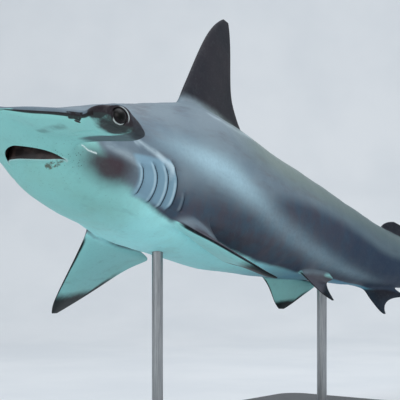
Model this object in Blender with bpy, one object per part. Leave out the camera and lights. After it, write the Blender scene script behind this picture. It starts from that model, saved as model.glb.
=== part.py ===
"""A scalloped hammerhead shark, life size and still, on a plain display stand. Metres, +Z up.

The shark is worked out in its own straight coordinates first: how far back from the snout a point lies,
how far to the shark's left, and how far above the spine's line, each as a share of the total length.
place() then bends the spine, tips the fish into its pose and sets it over the stand.
Each node is a coarse cage of four-sided faces, smoothed by a Subdivision Surface modifier.
"""

import math
from bisect import bisect_right

import bmesh
import bpy
from mathutils import Matrix, Vector
from mathutils.bvhtree import BVHTree

TOTAL_LENGTH = 2.40
GAP = 0.0003
SMOOTHING = 1

# Pose on the stand: nose up, left side lifted, and where the spine's reference point stands.
NOSE_UP = math.radians(12.9)
LEFT_SIDE_UP = math.radians(6.1)
REFERENCE_STATION = 0.30
REFERENCE_PLACE = Vector((-0.19, 0.04, 0.575))

# The swimming bend: station, sideways heading and rise of the spine there, in degrees.
SPINE_BEND = (
    (0.00, -7.5, 0.0),
    (0.05, -6.4, 0.0),
    (0.12, -1.2, 0.0),
    (0.20, 1.4, 0.0),
    (0.30, 0.0, 0.0),
    (0.45, -6.6, 0.0),
    (0.60, -11.8, -1.2),
    (0.70, -11.0, 0.0),
    (0.76, -9.0, 22.0),
    (0.82, -6.5, 29.0),
    (1.00, 1.0, 31.0),
)

# Body section: station, top, bottom, half width.
BODY = (
    (0.005, 0.0038, -0.0055, 0.0400),
    (0.020, 0.0070, -0.0112, 0.0405),
    (0.040, 0.0126, -0.0180, 0.0410),
    (0.060, 0.0178, -0.0252, 0.0420),
    (0.080, 0.0232, -0.0408, 0.0448),
    (0.100, 0.0293, -0.0512, 0.0480),
    (0.120, 0.0363, -0.0562, 0.0498),
    (0.150, 0.0456, -0.0588, 0.0528),
    (0.180, 0.0552, -0.0610, 0.0565),
    (0.210, 0.0649, -0.0645, 0.0595),
    (0.240, 0.0738, -0.0660, 0.0618),
    (0.270, 0.0828, -0.0650, 0.0632),
    (0.300, 0.0858, -0.0645, 0.0640),
    (0.330, 0.0838, -0.0648, 0.0640),
    (0.360, 0.0782, -0.0638, 0.0625),
    (0.400, 0.0712, -0.0598, 0.0582),
    (0.450, 0.0640, -0.0540, 0.0511),
    (0.500, 0.0550, -0.0480, 0.0430),
    (0.550, 0.0445, -0.0425, 0.0355),
    (0.600, 0.0340, -0.0385, 0.0285),
    (0.650, 0.0265, -0.0300, 0.0215),
    (0.700, 0.0205, -0.0215, 0.0160),
    (0.730, 0.0190, -0.0215, 0.0125),
    (0.760, 0.0175, -0.0330, 0.0085),
    (0.785, 0.0160, -0.0440, 0.0066),
    (0.810, 0.0148, -0.0455, 0.0056),
    (0.840, 0.0130, -0.0385, 0.0048),
    (0.880, 0.0108, -0.0310, 0.0040),
    (0.920, 0.0086, -0.0255, 0.0032),
    (0.948, 0.0070, -0.0170, 0.0027),
    (0.960, 0.0063, -0.0175, 0.0025),
    (0.978, 0.0050, -0.0245, 0.0021),
    (0.992, 0.0034, -0.0190, 0.0016),
    (1.000, 0.0015, -0.0110, 0.0011),
)
SECTION_POWER = 0.9

# Ring stations of the cage, node by node.
HEAD_RINGS = (0.005, 0.018, 0.033, 0.049, 0.064, 0.079, 0.092, 0.106, 0.120, 0.134)
FRONT_RINGS = (
    0.134, 0.1495, 0.1535, 0.1695, 0.1735, 0.1855, 0.1893, 0.1980,
    0.2020, 0.2125, 0.2165, 0.232, 0.250, 0.267, 0.2755,
)
MIDDLE_RINGS = (0.2755, 0.283, 0.306, 0.332, 0.358, 0.384, 0.402)
REAR_RINGS = (0.402, 0.430, 0.460, 0.484, 0.508, 0.543, 0.580)
STEM_RINGS = (0.580, 0.594, 0.618, 0.642, 0.656, 0.720)
TAIL_RINGS = (0.720, 0.732, 0.755, 0.781, 0.806, 0.850, 0.900, 0.944, 0.960, 0.980, 1.000)
PECTORAL_SPAN = (0.2165, 0.267)
FIRST_DORSAL_SPAN = (0.283, 0.384)
PELVIC_SPAN = (0.460, 0.508)
SECOND_DORSAL_SPAN = (0.618, 0.656)
ANAL_SPAN = (0.594, 0.642)
LOWER_LOBE_SPAN = (0.732, 0.806)

# Columns of the cage round a section. The middle one on each side carries the hammer and the pectorals.
COLUMNS_EACH_SIDE = 9
COLUMN_COUNT = 2 * COLUMNS_EACH_SIDE + 2
TOP_COLUMN = 0
SIDE_COLUMN = 5
PELVIC_COLUMN = 7
BOTTOM_COLUMN = 10
MEDIAN_COLUMN_DEG = 8.0
# Station, angle of the side column above the level, spread to the columns beside it, in degrees.
SIDE_COLUMN_DEG = (
    (0.09, 0.0, 24.0),
    (0.15, -20.0, 15.0),
    (0.21, -42.0, 9.0),
    (0.70, -42.0, 9.0),
)

# Gill slits: the lip stands out before each slit, the wall behind it is sunk. Rings that bear them.
GILL_LIPS = (0.1495, 0.1695, 0.1855, 0.1980, 0.2125)
GILL_SLITS = (0.1535, 0.1735, 0.1893, 0.2020, 0.2165)
GILL_LIP_RISE = 0.0016
GILL_SLIT_DEPTH = 0.0032
GILL_CENTRE_DEG = -18.0
GILL_BOW = 0.010
# Station, share of the slits' bow there.
GILL_BOW_SHARE = ((0.134, 0.0), (0.150, 1.0), (0.2165, 1.0), (0.250, 0.0))
# Angle, depth of the slits there.
GILL_DEPTH_SHARE = ((-58.0, 0.0), (-48.0, 1.0), (6.0, 1.0), (18.0, 0.0))
REAR_GILL_DEPTH_SHARE = ((-36.0, 0.0), (-30.0, 1.0), (6.0, 1.0), (18.0, 0.0))
REAR_GILLS_FROM = 0.205

# The head lies a little to the left of the spine's line: station, distance.
HEAD_SHIFT = ((0.0, 0.008), (0.09, 0.008), (0.20, 0.0))

# The hammer, in plan: half span, front edge, rear edge, half thickness.
HAMMER = (
    (0.0400, 0.0085, 0.0830, 0.0120),
    (0.0530, 0.0140, 0.0790, 0.0094),
    (0.0670, 0.0205, 0.0785, 0.0091),
    (0.0810, 0.0265, 0.0795, 0.0090),
    (0.0915, 0.0330, 0.0808, 0.0090),
    (0.0987, 0.0388, 0.0818, 0.0092),
    (0.1062, 0.0362, 0.0826, 0.0098),
    (0.1140, 0.0338, 0.0826, 0.0106),
    (0.1210, 0.0338, 0.0812, 0.0110),
    (0.1270, 0.0362, 0.0790, 0.0104),
    (0.1300, 0.0410, 0.0735, 0.0078),
)
HAMMER_LEVEL = -0.0058
HAMMER_TILT = 0.137
HAMMER_TWIST = -0.055
HAMMER_DROOP = 6.6
HAMMER_DROOP_FROM = 0.055
HAMMER_MIDDLE = 0.05
FRONT_BOW_FADE = 0.09

# Fins: height above the root, front edge and rear edge by station, half thickness.
FIRST_DORSAL = (
    (0.0060, 0.2825, 0.4000, 0.0085),
    (0.0155, 0.2868, 0.3900, 0.0068),
    (0.0280, 0.2938, 0.3802, 0.0058),
    (0.0410, 0.3006, 0.3726, 0.0051),
    (0.0636, 0.3118, 0.3700, 0.0042),
    (0.0882, 0.3250, 0.3682, 0.0031),
    (0.1074, 0.3400, 0.3652, 0.0020),
    (0.1180, 0.3530, 0.3615, 0.0010),
)
SECOND_DORSAL = (
    (0.0038, 0.6190, 0.7080, 0.0034),
    (0.0070, 0.6220, 0.6820, 0.0027),
    (0.0110, 0.6275, 0.6640, 0.0021),
    (0.0148, 0.6345, 0.6570, 0.0016),
    (0.0178, 0.6430, 0.6550, 0.0011),
)
ANAL = (
    (0.0040, 0.5975, 0.6780, 0.0036),
    (0.0090, 0.6030, 0.6520, 0.0029),
    (0.0150, 0.6105, 0.6380, 0.0023),
    (0.0215, 0.6190, 0.6335, 0.0018),
    (0.0270, 0.6265, 0.6350, 0.0013),
    (0.0300, 0.6330, 0.6370, 0.0009),
)
PELVIC = (
    (0.0061, 0.4630, 0.5395, 0.0052),
    (0.0143, 0.4710, 0.5381, 0.0042),
    (0.0255, 0.4815, 0.5249, 0.0031),
    (0.0377, 0.4930, 0.5205, 0.0021),
    (0.0479, 0.5070, 0.5147, 0.0010),
)
PECTORAL = (
    (0.0055, 0.2192, 0.3040, 0.0105),
    (0.0135, 0.2230, 0.3400, 0.0088),
    (0.0220, 0.2275, 0.3385, 0.0075),
    (0.0360, 0.2355, 0.3310, 0.0062),
    (0.0545, 0.2460, 0.3275, 0.0050),
    (0.0730, 0.2570, 0.3245, 0.0040),
    (0.0905, 0.2685, 0.3185, 0.0031),
    (0.1045, 0.2780, 0.3105, 0.0021),
    (0.1150, 0.2890, 0.2985, 0.0010),
)
LOWER_LOBE = (
    (0.0080, 0.7365, 0.8060, 0.0050),
    (0.0220, 0.7430, 0.7960, 0.0040),
    (0.0400, 0.7510, 0.7890, 0.0031),
    (0.0580, 0.7590, 0.7850, 0.0023),
    (0.0720, 0.7670, 0.7830, 0.0016),
    (0.0810, 0.7740, 0.7810, 0.0010),
)
# The paired fins' lean below the level at root and tip, swing back, in degrees, and rise of the rear
# edge at root and tip.
PECTORAL_LEFT = (44.5, 44.5, 32.8, -0.255, -0.485)
PECTORAL_RIGHT = (42.3, 36.0, -2.2, 0.013, 0.295)
PELVIC_LEFT = (91.2, 83.8, 19.7, -0.226, -0.509)
PELVIC_RIGHT = (84.0, 52.9, 8.4, -0.335, 0.041)
# Share of the height where a fin's pitch is full: pectorals, pelvics.
PITCH_FULL_AT = (0.20, 0.45)

# The mouth: the middle of the line through its corners, that line's slant, each jaw's reach forward
# of it and roundness, its roof.
MOUTH_CORNER = 0.0721
MOUTH_SLANT = 0.25
MOUTH_MIDDLE = 0.0100
MOUTH_HALF_WIDTH = 0.0275
UPPER_JAW = (0.0270, 1.5)
LOWER_JAW = (0.0100, 2.0)
MOUTH_ROOF = -0.0135
LIP_RADIUS = 0.0014

# Nostrils, in the notches of the front edge: station, distance out, length, width, depth.
NOSTRIL = (0.0368, 0.0935, 0.0050, 0.0016, 0.0045)
NOSTRIL_TURN = math.radians(-42)

# Eyes, at the ends of the hammer.
EYE_STATION = 0.0515
EYE_OUT = 0.1225
EYE_RADIUS = 0.0088
EYE_RISE = -0.0005
# The lid's ring: place and span as shares of the eye's radius, thickness as a share of the length.
LID_FORWARD = 0.58
LID_SPAN = 0.86
LID_RADIUS = 0.0012
LID_STEPS = 16

# Stand.
BASE_LENGTH = 1.15
BASE_WIDTH = 0.50
BASE_THICKNESS = 0.025
BASE_CORNER = 0.06
BASE_EDGE = 0.004
ROD_RADIUS = 0.0125
ROD_STATIONS = (("front", 0.265), ("rear", 0.530))
ROD_REACH = 0.03


def material(name, colour, roughness, metallic=0.0):
    """A Principled material of one colour."""
    made = bpy.data.materials.new(name)
    made.use_nodes = True
    shader = made.node_tree.nodes["Principled BSDF"]
    shader.inputs["Base Color"].default_value = (*colour, 1.0)
    shader.inputs["Roughness"].default_value = roughness
    shader.inputs["Metallic"].default_value = metallic
    return made


def slope(xs, ys, i):
    """Slope of a table at one of its stations, level where the table turns."""
    if i == 0:
        return (ys[1] - ys[0]) / (xs[1] - xs[0])
    if i == len(xs) - 1:
        return (ys[-1] - ys[-2]) / (xs[-1] - xs[-2])
    if (ys[i] - ys[i - 1]) * (ys[i + 1] - ys[i]) <= 0:
        return 0.0
    return (ys[i + 1] - ys[i - 1]) / (xs[i + 1] - xs[i - 1])


def read(table, x, column=1):
    """A column of a table at x, on a smooth curve through its stations."""
    xs = [row[0] for row in table]
    ys = [row[column] for row in table]
    if x <= xs[0]:
        return ys[0]
    if x >= xs[-1]:
        return ys[-1]
    i = bisect_right(xs, x) - 1
    width = xs[i + 1] - xs[i]
    t = (x - xs[i]) / width
    start, end = slope(xs, ys, i) * width, slope(xs, ys, i + 1) * width
    rise = ys[i + 1] - ys[i]
    return ys[i] + t * (start + t * (3 * rise - 2 * start - end + t * (start + end - 2 * rise)))


def heading(station):
    """Unit vector along the spine towards the tail, before the fish is tipped into its pose."""
    side = math.radians(read(SPINE_BEND, station, 1))
    rise = math.radians(read(SPINE_BEND, station, 2))
    return Vector((math.cos(side) * math.cos(rise), math.sin(side) * math.cos(rise), math.sin(rise)))


def walk_spine(steps=400):
    """Points along the spine at even stations, with the reference station at the origin."""
    points = [Vector((0, 0, 0))]
    for i in range(steps):
        points.append(points[-1] + heading((i + 0.5) / steps) / steps)
    origin = points[round(REFERENCE_STATION * steps)].copy()
    return [p - origin for p in points]


SPINE = walk_spine()
POSE = Matrix.Rotation(NOSE_UP, 3, "Y") @ Matrix.Rotation(-LEFT_SIDE_UP, 3, "X")


def spine_frame(station):
    """The spine's point at a station, and the directions to the shark's left and up."""
    steps = len(SPINE) - 1
    at = min(max(station, 0.0), 1.0) * steps
    i = min(int(at), steps - 1)
    point = SPINE[i].lerp(SPINE[i + 1], at - i)
    point = point + heading(station) * (station - at / steps)
    side = math.radians(read(SPINE_BEND, station, 1))
    left = Vector((math.sin(side), -math.cos(side), 0.0))
    return point, left, left.cross(heading(station))


def place(station, left, up):
    """A point of the shark, given as shares of its length, in the part's own frame."""
    point, to_left, to_up = spine_frame(station)
    left += read(HEAD_SHIFT, station)
    return REFERENCE_PLACE + POSE @ (point + to_left * left + to_up * up) * TOTAL_LENGTH


def column_angles(station):
    """Angles of the cage's columns above the level, from the top down the left side and up the right."""
    middle = read(SIDE_COLUMN_DEG, station, 1)
    spread = read(SIDE_COLUMN_DEG, station, 2)
    upper, lower = 90 - MEDIAN_COLUMN_DEG, -90 + MEDIAN_COLUMN_DEG
    last = SIDE_COLUMN - 2
    down = [upper + (middle + spread - upper) * i / last for i in range(last + 1)]
    under = [middle - spread + (lower - middle + spread) * i / last for i in range(last + 1)]
    left = [*down, middle, *under]
    return [90.0, *left, -90.0, *(180 - a for a in reversed(left))]


def power(value):
    """A rounded square's ordinate for a circle's."""
    return math.copysign(abs(value) ** SECTION_POWER, value)


def front_edge(left):
    """How far back the front edge of the head lies, by distance from the middle line."""
    return read(((0.0, 0.0050), (0.018, 0.0032), *[row[:2] for row in HAMMER]), abs(left))


def swell(angles, i):
    """How far out a column stands so that the smoothed surface meets the true section."""
    before, after = angles[i - 1] - angles[i], angles[i] - angles[(i + 1) % len(angles)]
    corner = (math.cos(math.radians(before)) + math.cos(math.radians(after))) / 2
    return 3 / (2 + corner)


def gill_relief(station, angle):
    """How far the skin stands out at a gill's lip, or in at its slit."""
    side = angle if angle <= 90 else 180 - angle
    shares = REAR_GILL_DEPTH_SHARE if station > REAR_GILLS_FROM else GILL_DEPTH_SHARE
    share = read(shares, side)
    if station in GILL_LIPS:
        return GILL_LIP_RISE * share
    if station in GILL_SLITS:
        return -GILL_SLIT_DEPTH * share
    return 0.0


def gill_bow(station, angle):
    """How far behind its station a ring lies at the gills' middle, so that the slits curve."""
    side = angle if angle <= 90 else 180 - angle
    away = min(1.0, ((side - GILL_CENTRE_DEG) / 26) ** 2)
    return GILL_BOW * (1 - away) * read(GILL_BOW_SHARE, station)


def ring(station):
    """The cage's points round the body at a station, as (station, left, up)."""
    top, bottom, half = (read(BODY, station, c) for c in (1, 2, 3))
    level, height = (top + bottom) / 2, (top - bottom) / 2
    fade = max(0.0, 1 - station / FRONT_BOW_FADE)
    angles = column_angles(station)
    points = []
    for i, degrees in enumerate(angles):
        angle = math.radians(degrees)
        out = swell(angles, i)
        relief = gill_relief(station, degrees)
        left = (half * out + relief) * power(math.cos(angle))
        up = level + (height * out + relief) * power(math.sin(angle))
        shift = (front_edge(left) - front_edge(0.0)) * fade + gill_bow(station, degrees)
        points.append((station + shift, left, up + head_twist(station, left)))
    return points


def head_twist(station, left):
    """The hammer's small twist about the spine, which dies away over the gills."""
    return HAMMER_TWIST * left * max(0.0, 1 - station / 0.14) ** 0.5


def bare_strip(first, last, column):
    """Ring and column of each cage point round a strip two faces wide, front point first."""
    side_a = [(i, column - 1) for i in range(first, last + 1)]
    side_b = [(i, column + 1) for i in range(last, first - 1, -1)]
    return [(first, column), *side_a, (last, column), *side_b]


class Cage:
    """A coarse closed mesh under a Subdivision Surface."""

    def __init__(self):
        self.points = []
        self.faces = []
        self.creases = set()

    def add(self, points):
        """New cage points given in the shark's coordinates; returns their numbers."""
        first = len(self.points)
        self.points += [place(*p) for p in points]
        return list(range(first, len(self.points)))

    def bridge(self, a, b, skip=()):
        """Four-sided faces between two loops of equal length."""
        n = len(a)
        for k in range(n):
            if k not in skip:
                self.faces.append((a[k], a[(k + 1) % n], b[(k + 1) % n], b[k]))

    def crease(self, loop):
        """Sharp edges all along a closed loop."""
        for k, point in enumerate(loop):
            self.creases.add(frozenset((point, loop[(k + 1) % len(loop)])))

    def close_flat(self, loop):
        """One many-sided face over a flat cut."""
        self.faces.append(tuple(loop))
        self.crease(loop)

    def close_blade(self, loop):
        """Faces across a fin section, from its front point to its rear one."""
        half = len(loop) // 2
        side_a, side_b = loop[1:half], loop[:half:-1]
        self.faces.append((loop[0], side_a[0], side_b[0]))
        for i in range(len(side_a) - 1):
            self.faces.append((side_a[i], side_a[i + 1], side_b[i + 1], side_b[i]))
        self.faces.append((side_a[-1], loop[half], side_b[-1]))

    def build(self, name, look, levels=SMOOTHING):
        """The object, smoothed."""
        mesh = bpy.data.meshes.new(name)
        mesh.from_pydata(self.points, [], self.faces)
        shaped = bmesh.new()
        shaped.from_mesh(mesh)
        bmesh.ops.recalc_face_normals(shaped, faces=shaped.faces)
        layer = shaped.edges.layers.float.new("crease_edge")
        for edge in shaped.edges:
            edge[layer] = float(frozenset(v.index for v in edge.verts) in self.creases)
        shaped.to_mesh(mesh)
        shaped.free()
        made = bpy.data.objects.new(name, mesh)
        bpy.context.scene.collection.objects.link(made)
        made.data.materials.append(look)
        made.data.shade_smooth()
        smoothing = made.modifiers.new("smooth", "SUBSURF")
        smoothing.levels = smoothing.render_levels = levels
        return made


def body_rings(cage, stations, front_gap=True, rear_gap=True):
    """Adds the rings of a stretch of body, drawn in by half the gap at a cut."""
    rings = []
    inset = GAP / 2 / TOTAL_LENGTH
    for i, station in enumerate(stations):
        at = station
        if front_gap and i == 0:
            at += inset
        if rear_gap and i == len(stations) - 1:
            at -= inset
        points = [(p[0] + at - station, p[1], p[2]) for p in ring(station)]
        rings.append(cage.add(points))
    return rings


def body_cage(stations, strips, rear_cut=True):
    """Cage of a stretch of body. Strips are the places where fins stand: a span and a column."""
    cage = Cage()
    rings = body_rings(cage, stations, rear_gap=rear_cut)
    for a, b in zip(rings, rings[1:]):
        cage.bridge(a, b)
    cage.close_flat(rings[0])
    for span, column in strips:
        first, last = (stations.index(s) for s in span)
        cage.crease([rings[i][k % COLUMN_COUNT] for i, k in bare_strip(first, last, column)])
    return cage, rings


def body_node(name, stations, look, strips):
    """A stretch of body between two flat cuts."""
    cage, rings = body_cage(stations, strips)
    cage.close_flat(rings[-1][::-1])
    return cage.build(name, look)


def tail_node(name, stations, look, strips):
    """The upper lobe of the tail, closed to an edge at its end."""
    cage, rings = body_cage(stations, strips, rear_cut=False)
    cage.close_blade(rings[-1])
    return cage.build(name, look)


def blade_share(count):
    """Even places along a fin section, between its front and rear points."""
    return [(i + 0.42) / (count - 0.16) for i in range(count)]


def blade_thickness(share):
    """Thickness of a fin section along its chord, as a share of the greatest."""
    thickest = 0.3
    if share < thickest:
        return math.sqrt(share / thickest)
    return ((1 - share) / (1 - thickest)) ** 0.85


def turned(rows, angle, pivot):
    """Fin rows swung back about the front of the root by an angle in degrees."""
    c, s = math.cos(math.radians(angle)), math.sin(math.radians(angle))
    swung = []
    for height, front, rear, thick in rows:
        x, end = front - pivot, rear - pivot
        nose = height * c - x * s
        tail = max(height * c - end * s, 0.25 * nose)
        swung.append((nose, pivot + x * c + height * s, pivot + end * c + height * s, thick, tail))
    return swung


def fin_section(row, count, root, to_tip, pitch):
    """Points round one section of a fin: front point, one side, rear point, other side."""
    height, front, rear, thick = row[:4]
    rear_height = row[4] if len(row) > 4 else height
    normal = (-to_tip[1], to_tip[0])
    chord = rear - front

    def point(share, depth):
        station = front + chord * share
        out = height + (rear_height - height) * share
        across = depth + pitch * chord * share
        left, up = root(station)
        return (
            station,
            left + to_tip[0] * out + normal[0] * across,
            up + to_tip[1] * out + normal[1] * across,
        )

    shares = blade_share(count)
    depths = [thick * blade_thickness(f) for f in shares]
    side_a = [point(f, d) for f, d in zip(shares, depths)]
    side_b = [point(f, -d) for f, d in zip(shares, depths)]
    return [point(0.0, 0.0), *side_a, point(1.0, 0.0), *side_b[::-1]]


def fin_node(name, look, stations, span, column, rows, lean=None, pitch=(0.0, 0.0)):
    """A fin on the strip of body between two stations. lean, for a paired fin, is below the level."""
    first, last = (stations.index(s) for s in span)
    count = last - first + 1
    cage = Cage()
    rings = [ring(s) for s in stations[first : last + 1]]
    strip = [rings[i][k % COLUMN_COUNT] for i, k in bare_strip(0, count - 1, column)]
    angle = math.radians(column_angles((span[0] + span[1]) / 2)[column])
    out = (math.cos(angle), math.sin(angle))
    lift = GAP * 1.3 / TOTAL_LENGTH

    def lifted(points):
        return [(s, y + out[0] * lift, z + out[1] * lift) for s, y, z in points]

    root_loop = cage.add(lifted(strip))
    inner = cage.add(lifted([r[column] for r in rings[1:-1]]))
    half = len(root_loop) // 2
    side_a, side_b = root_loop[1:half], root_loop[:half:-1]
    root_line = [root_loop[0], *inner, root_loop[half]]
    for i in range(count - 1):
        cage.faces.append((side_a[i], side_a[i + 1], root_line[i + 1], root_line[i]))
        cage.faces.append((root_line[i], root_line[i + 1], side_b[i + 1], side_b[i]))
    cage.crease(root_loop)

    def root(station):
        held = min(max(station, span[0]), span[1])
        top, bottom, wide = (read(BODY, held, c) for c in (1, 2, 3))
        level, height = (top + bottom) / 2, (top - bottom) / 2
        at = math.radians(column_angles(held)[column])
        return wide * power(math.cos(at)), level + height * power(math.sin(at))

    loops = [root_loop]
    for row in rows:
        share = row[0] / rows[-1][0]
        to_tip = out
        if lean:
            below = math.radians(lean[0] + (lean[1] - lean[0]) * share)
            to_tip = (math.copysign(math.cos(below), out[0]), -math.sin(below))
        tilt = math.copysign(1.0, out[0]) * (pitch[0] + (pitch[1] - pitch[0]) * share)
        tilt *= min(1.0, share / PITCH_FULL_AT[span == PELVIC_SPAN])
        loops.append(cage.add(fin_section(row, count, root, to_tip, tilt)))
    for a, b in zip(loops, loops[1:]):
        cage.bridge(a, b)
    cage.close_blade(loops[-1])
    return cage.build(name, look)


def hammer_up(station, left):
    """Height of the hammer's middle surface."""
    level = HAMMER_LEVEL - HAMMER_TILT * (station - HAMMER_MIDDLE)
    level -= HAMMER_DROOP * max(0.0, station - HAMMER_DROOP_FROM) ** 2
    return level + HAMMER_TWIST * left


def hammer_section(row, count, side):
    """Points round one section of the hammer, from its front edge to its rear one and back."""
    out, front, rear, thick = row
    chord = rear - front
    left = side * out

    def point(share, above):
        station = front + chord * share
        return (station, left, hammer_up(station, left) + above)

    shares = [0.035 + 0.92 * i / (count - 1) for i in range(count)]
    round_off = [0.45 + 0.55 * math.sin(math.pi * min(f * 1.25, 1 - f / 4)) ** 0.7 for f in shares]
    depths = [thick * r * (1 - f**5) for f, r in zip(shares, round_off)]
    above = [point(f, d * min(1.0, 0.62 + f)) for f, d in zip(shares, depths)]
    below = [point(f, -d) for f, d in zip(shares, depths)]
    return [point(0.0, 0.0), *above, point(1.0, 0.0), *below[::-1]]


def head_node(look):
    """The flat head with its hammer, back to the first gill."""
    cage = Cage()
    rings = body_rings(cage, HEAD_RINGS, front_gap=False)
    root_last = HEAD_RINGS.index(0.079)
    left_strip = (SIDE_COLUMN - 1, SIDE_COLUMN)
    right = COLUMN_COUNT - SIDE_COLUMN
    right_strip = (right - 1, right)
    for i, (a, b) in enumerate(zip(rings, rings[1:])):
        cage.bridge(a, b, left_strip + right_strip if i < root_last else ())
    cage.close_flat(rings[-1][::-1])
    snout = rings[0]
    cage.close_blade([snout[(SIDE_COLUMN + k) % COLUMN_COUNT] for k in range(COLUMN_COUNT)])
    for side, column in ((1, SIDE_COLUMN), (-1, right)):
        loop = [rings[i][k] for i, k in bare_strip(0, root_last, column)]
        if side < 0:
            half = len(loop) // 2
            loop = [loop[0], *loop[:half:-1], loop[half], *loop[half - 1 : 0 : -1]]
        for row in HAMMER[1:]:
            section = cage.add(hammer_section(row, root_last + 1, side))
            cage.bridge(loop, section)
            loop = section
        cage.close_blade(loop)
    return cage.build("head", look)


def eye_centre(side):
    """Centre of an eyeball."""
    up = hammer_up(EYE_STATION, side * EYE_OUT) + EYE_RISE
    return place(EYE_STATION, side * EYE_OUT, up)


def ball(name, centre, radius, look, segments=16):
    """A round ball."""
    mesh = bpy.data.meshes.new(name)
    shaped = bmesh.new()
    bmesh.ops.create_uvsphere(shaped, u_segments=segments, v_segments=segments // 2, radius=radius)
    shaped.to_mesh(mesh)
    shaped.free()
    made = bpy.data.objects.new(name, mesh)
    made.location = centre
    bpy.context.scene.collection.objects.link(made)
    if look:
        made.data.materials.append(look)
    made.data.shade_smooth()
    return made


def hide_tool(tool):
    """A cutter isn't part of the object."""
    tool.hide_render = True
    tool.display_type = "WIRE"
    return tool


def combine(target, tool, operation="DIFFERENCE"):
    """Joins a closed tool to an object, or takes its space out of it."""
    hide_tool(tool)
    boolean = target.modifiers.new(operation.lower(), "BOOLEAN")
    boolean.operation = operation
    boolean.object = tool
    return boolean


def solid(name, points, faces):
    """A closed mesh from points already in the part's frame."""
    mesh = bpy.data.meshes.new(name)
    mesh.from_pydata(points, [], faces)
    shaped = bmesh.new()
    shaped.from_mesh(mesh)
    bmesh.ops.recalc_face_normals(shaped, faces=shaped.faces)
    shaped.to_mesh(mesh)
    shaped.free()
    made = bpy.data.objects.new(name, mesh)
    bpy.context.scene.collection.objects.link(made)
    return made


def prism(name, lower, upper):
    """A closed tool between two loops of equal length."""
    n = len(lower)
    sides = [(k, (k + 1) % n, n + (k + 1) % n, n + k) for k in range(n)]
    return solid(name, [*lower, *upper], [*sides, tuple(range(n))[::-1], tuple(range(n, 2 * n))])


def tube(name, path, radii, closed=False, sides=6):
    """A round-sectioned bar along a path. radii gives its radius at each point."""
    points, faces = [], []
    n = len(path)
    for i, centre in enumerate(path):
        ahead = path[(i + 1) % n] if closed or i < n - 1 else centre
        behind = path[i - 1] if closed or i > 0 else centre
        along = (ahead - behind).normalized()
        across = along.cross(Vector((0, 0, 1))).normalized()
        other = across.cross(along)
        for k in range(sides):
            a = math.tau * k / sides
            points.append(centre + (across * math.cos(a) + other * math.sin(a)) * radii[i])
    for i in range(n if closed else n - 1):
        for k in range(sides):
            here, there = i * sides, (i + 1) % n * sides
            faces.append((here + k, here + (k + 1) % sides, there + (k + 1) % sides, there + k))
    if not closed:
        faces += [tuple(range(sides))[::-1], tuple(range((n - 1) * sides, n * sides))]
    return solid(name, points, faces)


def skin_tree(made):
    """Search tree over an object's surface as it stands."""
    bpy.context.view_layer.update()
    depsgraph = bpy.context.evaluated_depsgraph_get()
    return BVHTree.FromObject(made, depsgraph)


def on_underside(tree, station, left):
    """The skin's point straight below a place on the head."""
    low, high = place(station, left, -0.2), place(station, left, 0.0)
    return tree.ray_cast(low, (high - low).normalized())[0]


def jaw_line(reach, roundness, steps=16):
    """Places along a jaw's edge, from the right corner to the left, as (station, left)."""
    line = []
    for i in range(steps + 1):
        turn = math.pi * (i / steps - 0.5)
        across = math.copysign(abs(math.sin(turn)) ** (2 / roundness), turn) * MOUTH_HALF_WIDTH
        forward = reach * math.cos(turn) ** (2 / roundness)
        line.append((MOUTH_CORNER + MOUTH_SLANT * across - forward, MOUTH_MIDDLE + across))
    return line


def add_mouth(head, tree):
    """Lips round the mouth, and the opening between the jaws."""
    for name, jaw in (("upper", UPPER_JAW), ("lower", LOWER_JAW)):
        line = jaw_line(*jaw)
        path = [on_underside(tree, *p) for p in line[1:-1]]
        swellings = [math.sin(math.pi * (i + 1) / (len(line) - 1)) for i in range(len(path))]
        radii = [LIP_RADIUS * TOTAL_LENGTH * (0.4 + 0.6 * s) for s in swellings]
        combine(head, tube(f"lip_{name}.tool", path, radii), "UNION")
    upper, lower = jaw_line(*UPPER_JAW), jaw_line(*LOWER_JAW)
    loop = [*upper, *lower[-2:0:-1]]
    floor = [place(s, y, -0.06) for s, y in loop]
    roof = [place(s, y, MOUTH_ROOF) for s, y in loop]
    combine(head, prism("mouth.tool", floor, roof))


def add_nostril(head, tree, side):
    """A slot in the underside at the notch of the front edge."""
    station, out, length, width, depth = NOSTRIL
    centre = on_underside(tree, station, side * out)
    tool = ball(f"nostril_{side}.tool", centre, TOTAL_LENGTH, None, 12)
    turn = Matrix.Rotation(side * NOSTRIL_TURN, 3, "Z")
    shape = Matrix.Diagonal((length, width, depth))
    tool.data.transform((POSE @ turn @ shape).to_4x4())
    combine(head, tool)


def add_eye(head, side, name, look):
    """An eyeball in its socket, with a lid round the opening."""
    centre = eye_centre(side)
    radius = EYE_RADIUS * TOTAL_LENGTH
    level = hammer_up(EYE_STATION, side * EYE_OUT)
    facing = (place(EYE_STATION - 0.008, side * (EYE_OUT + 0.05), level) - centre).normalized()
    across = facing.cross(Vector((0, 0, 1))).normalized()
    other = across.cross(facing)
    rim = centre + facing * radius * LID_FORWARD
    ring_points = []
    for k in range(LID_STEPS):
        a = math.tau * k / LID_STEPS
        ring_points.append(rim + (across * math.cos(a) + other * math.sin(a)) * radius * LID_SPAN)
    radii = [LID_RADIUS * TOTAL_LENGTH] * LID_STEPS
    combine(head, tube(f"lid_{name}.tool", ring_points, radii, closed=True), "UNION")
    ball(f"eye_{name}", centre, radius, look)
    combine(head, ball(f"eye_{name}.tool", centre, radius + GAP, None))


def cylinder(name, foot, top, radius, look, sides=32):
    """An upright round bar."""
    mesh = bpy.data.meshes.new(name)
    shaped = bmesh.new()
    bmesh.ops.create_cone(
        shaped, cap_ends=True, segments=sides, radius1=radius, radius2=radius, depth=top - foot.z
    )
    shaped.to_mesh(mesh)
    shaped.free()
    made = bpy.data.objects.new(name, mesh)
    made.location = (foot.x, foot.y, (foot.z + top) / 2)
    bpy.context.scene.collection.objects.link(made)
    made.data.materials.append(look)
    return made


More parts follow.
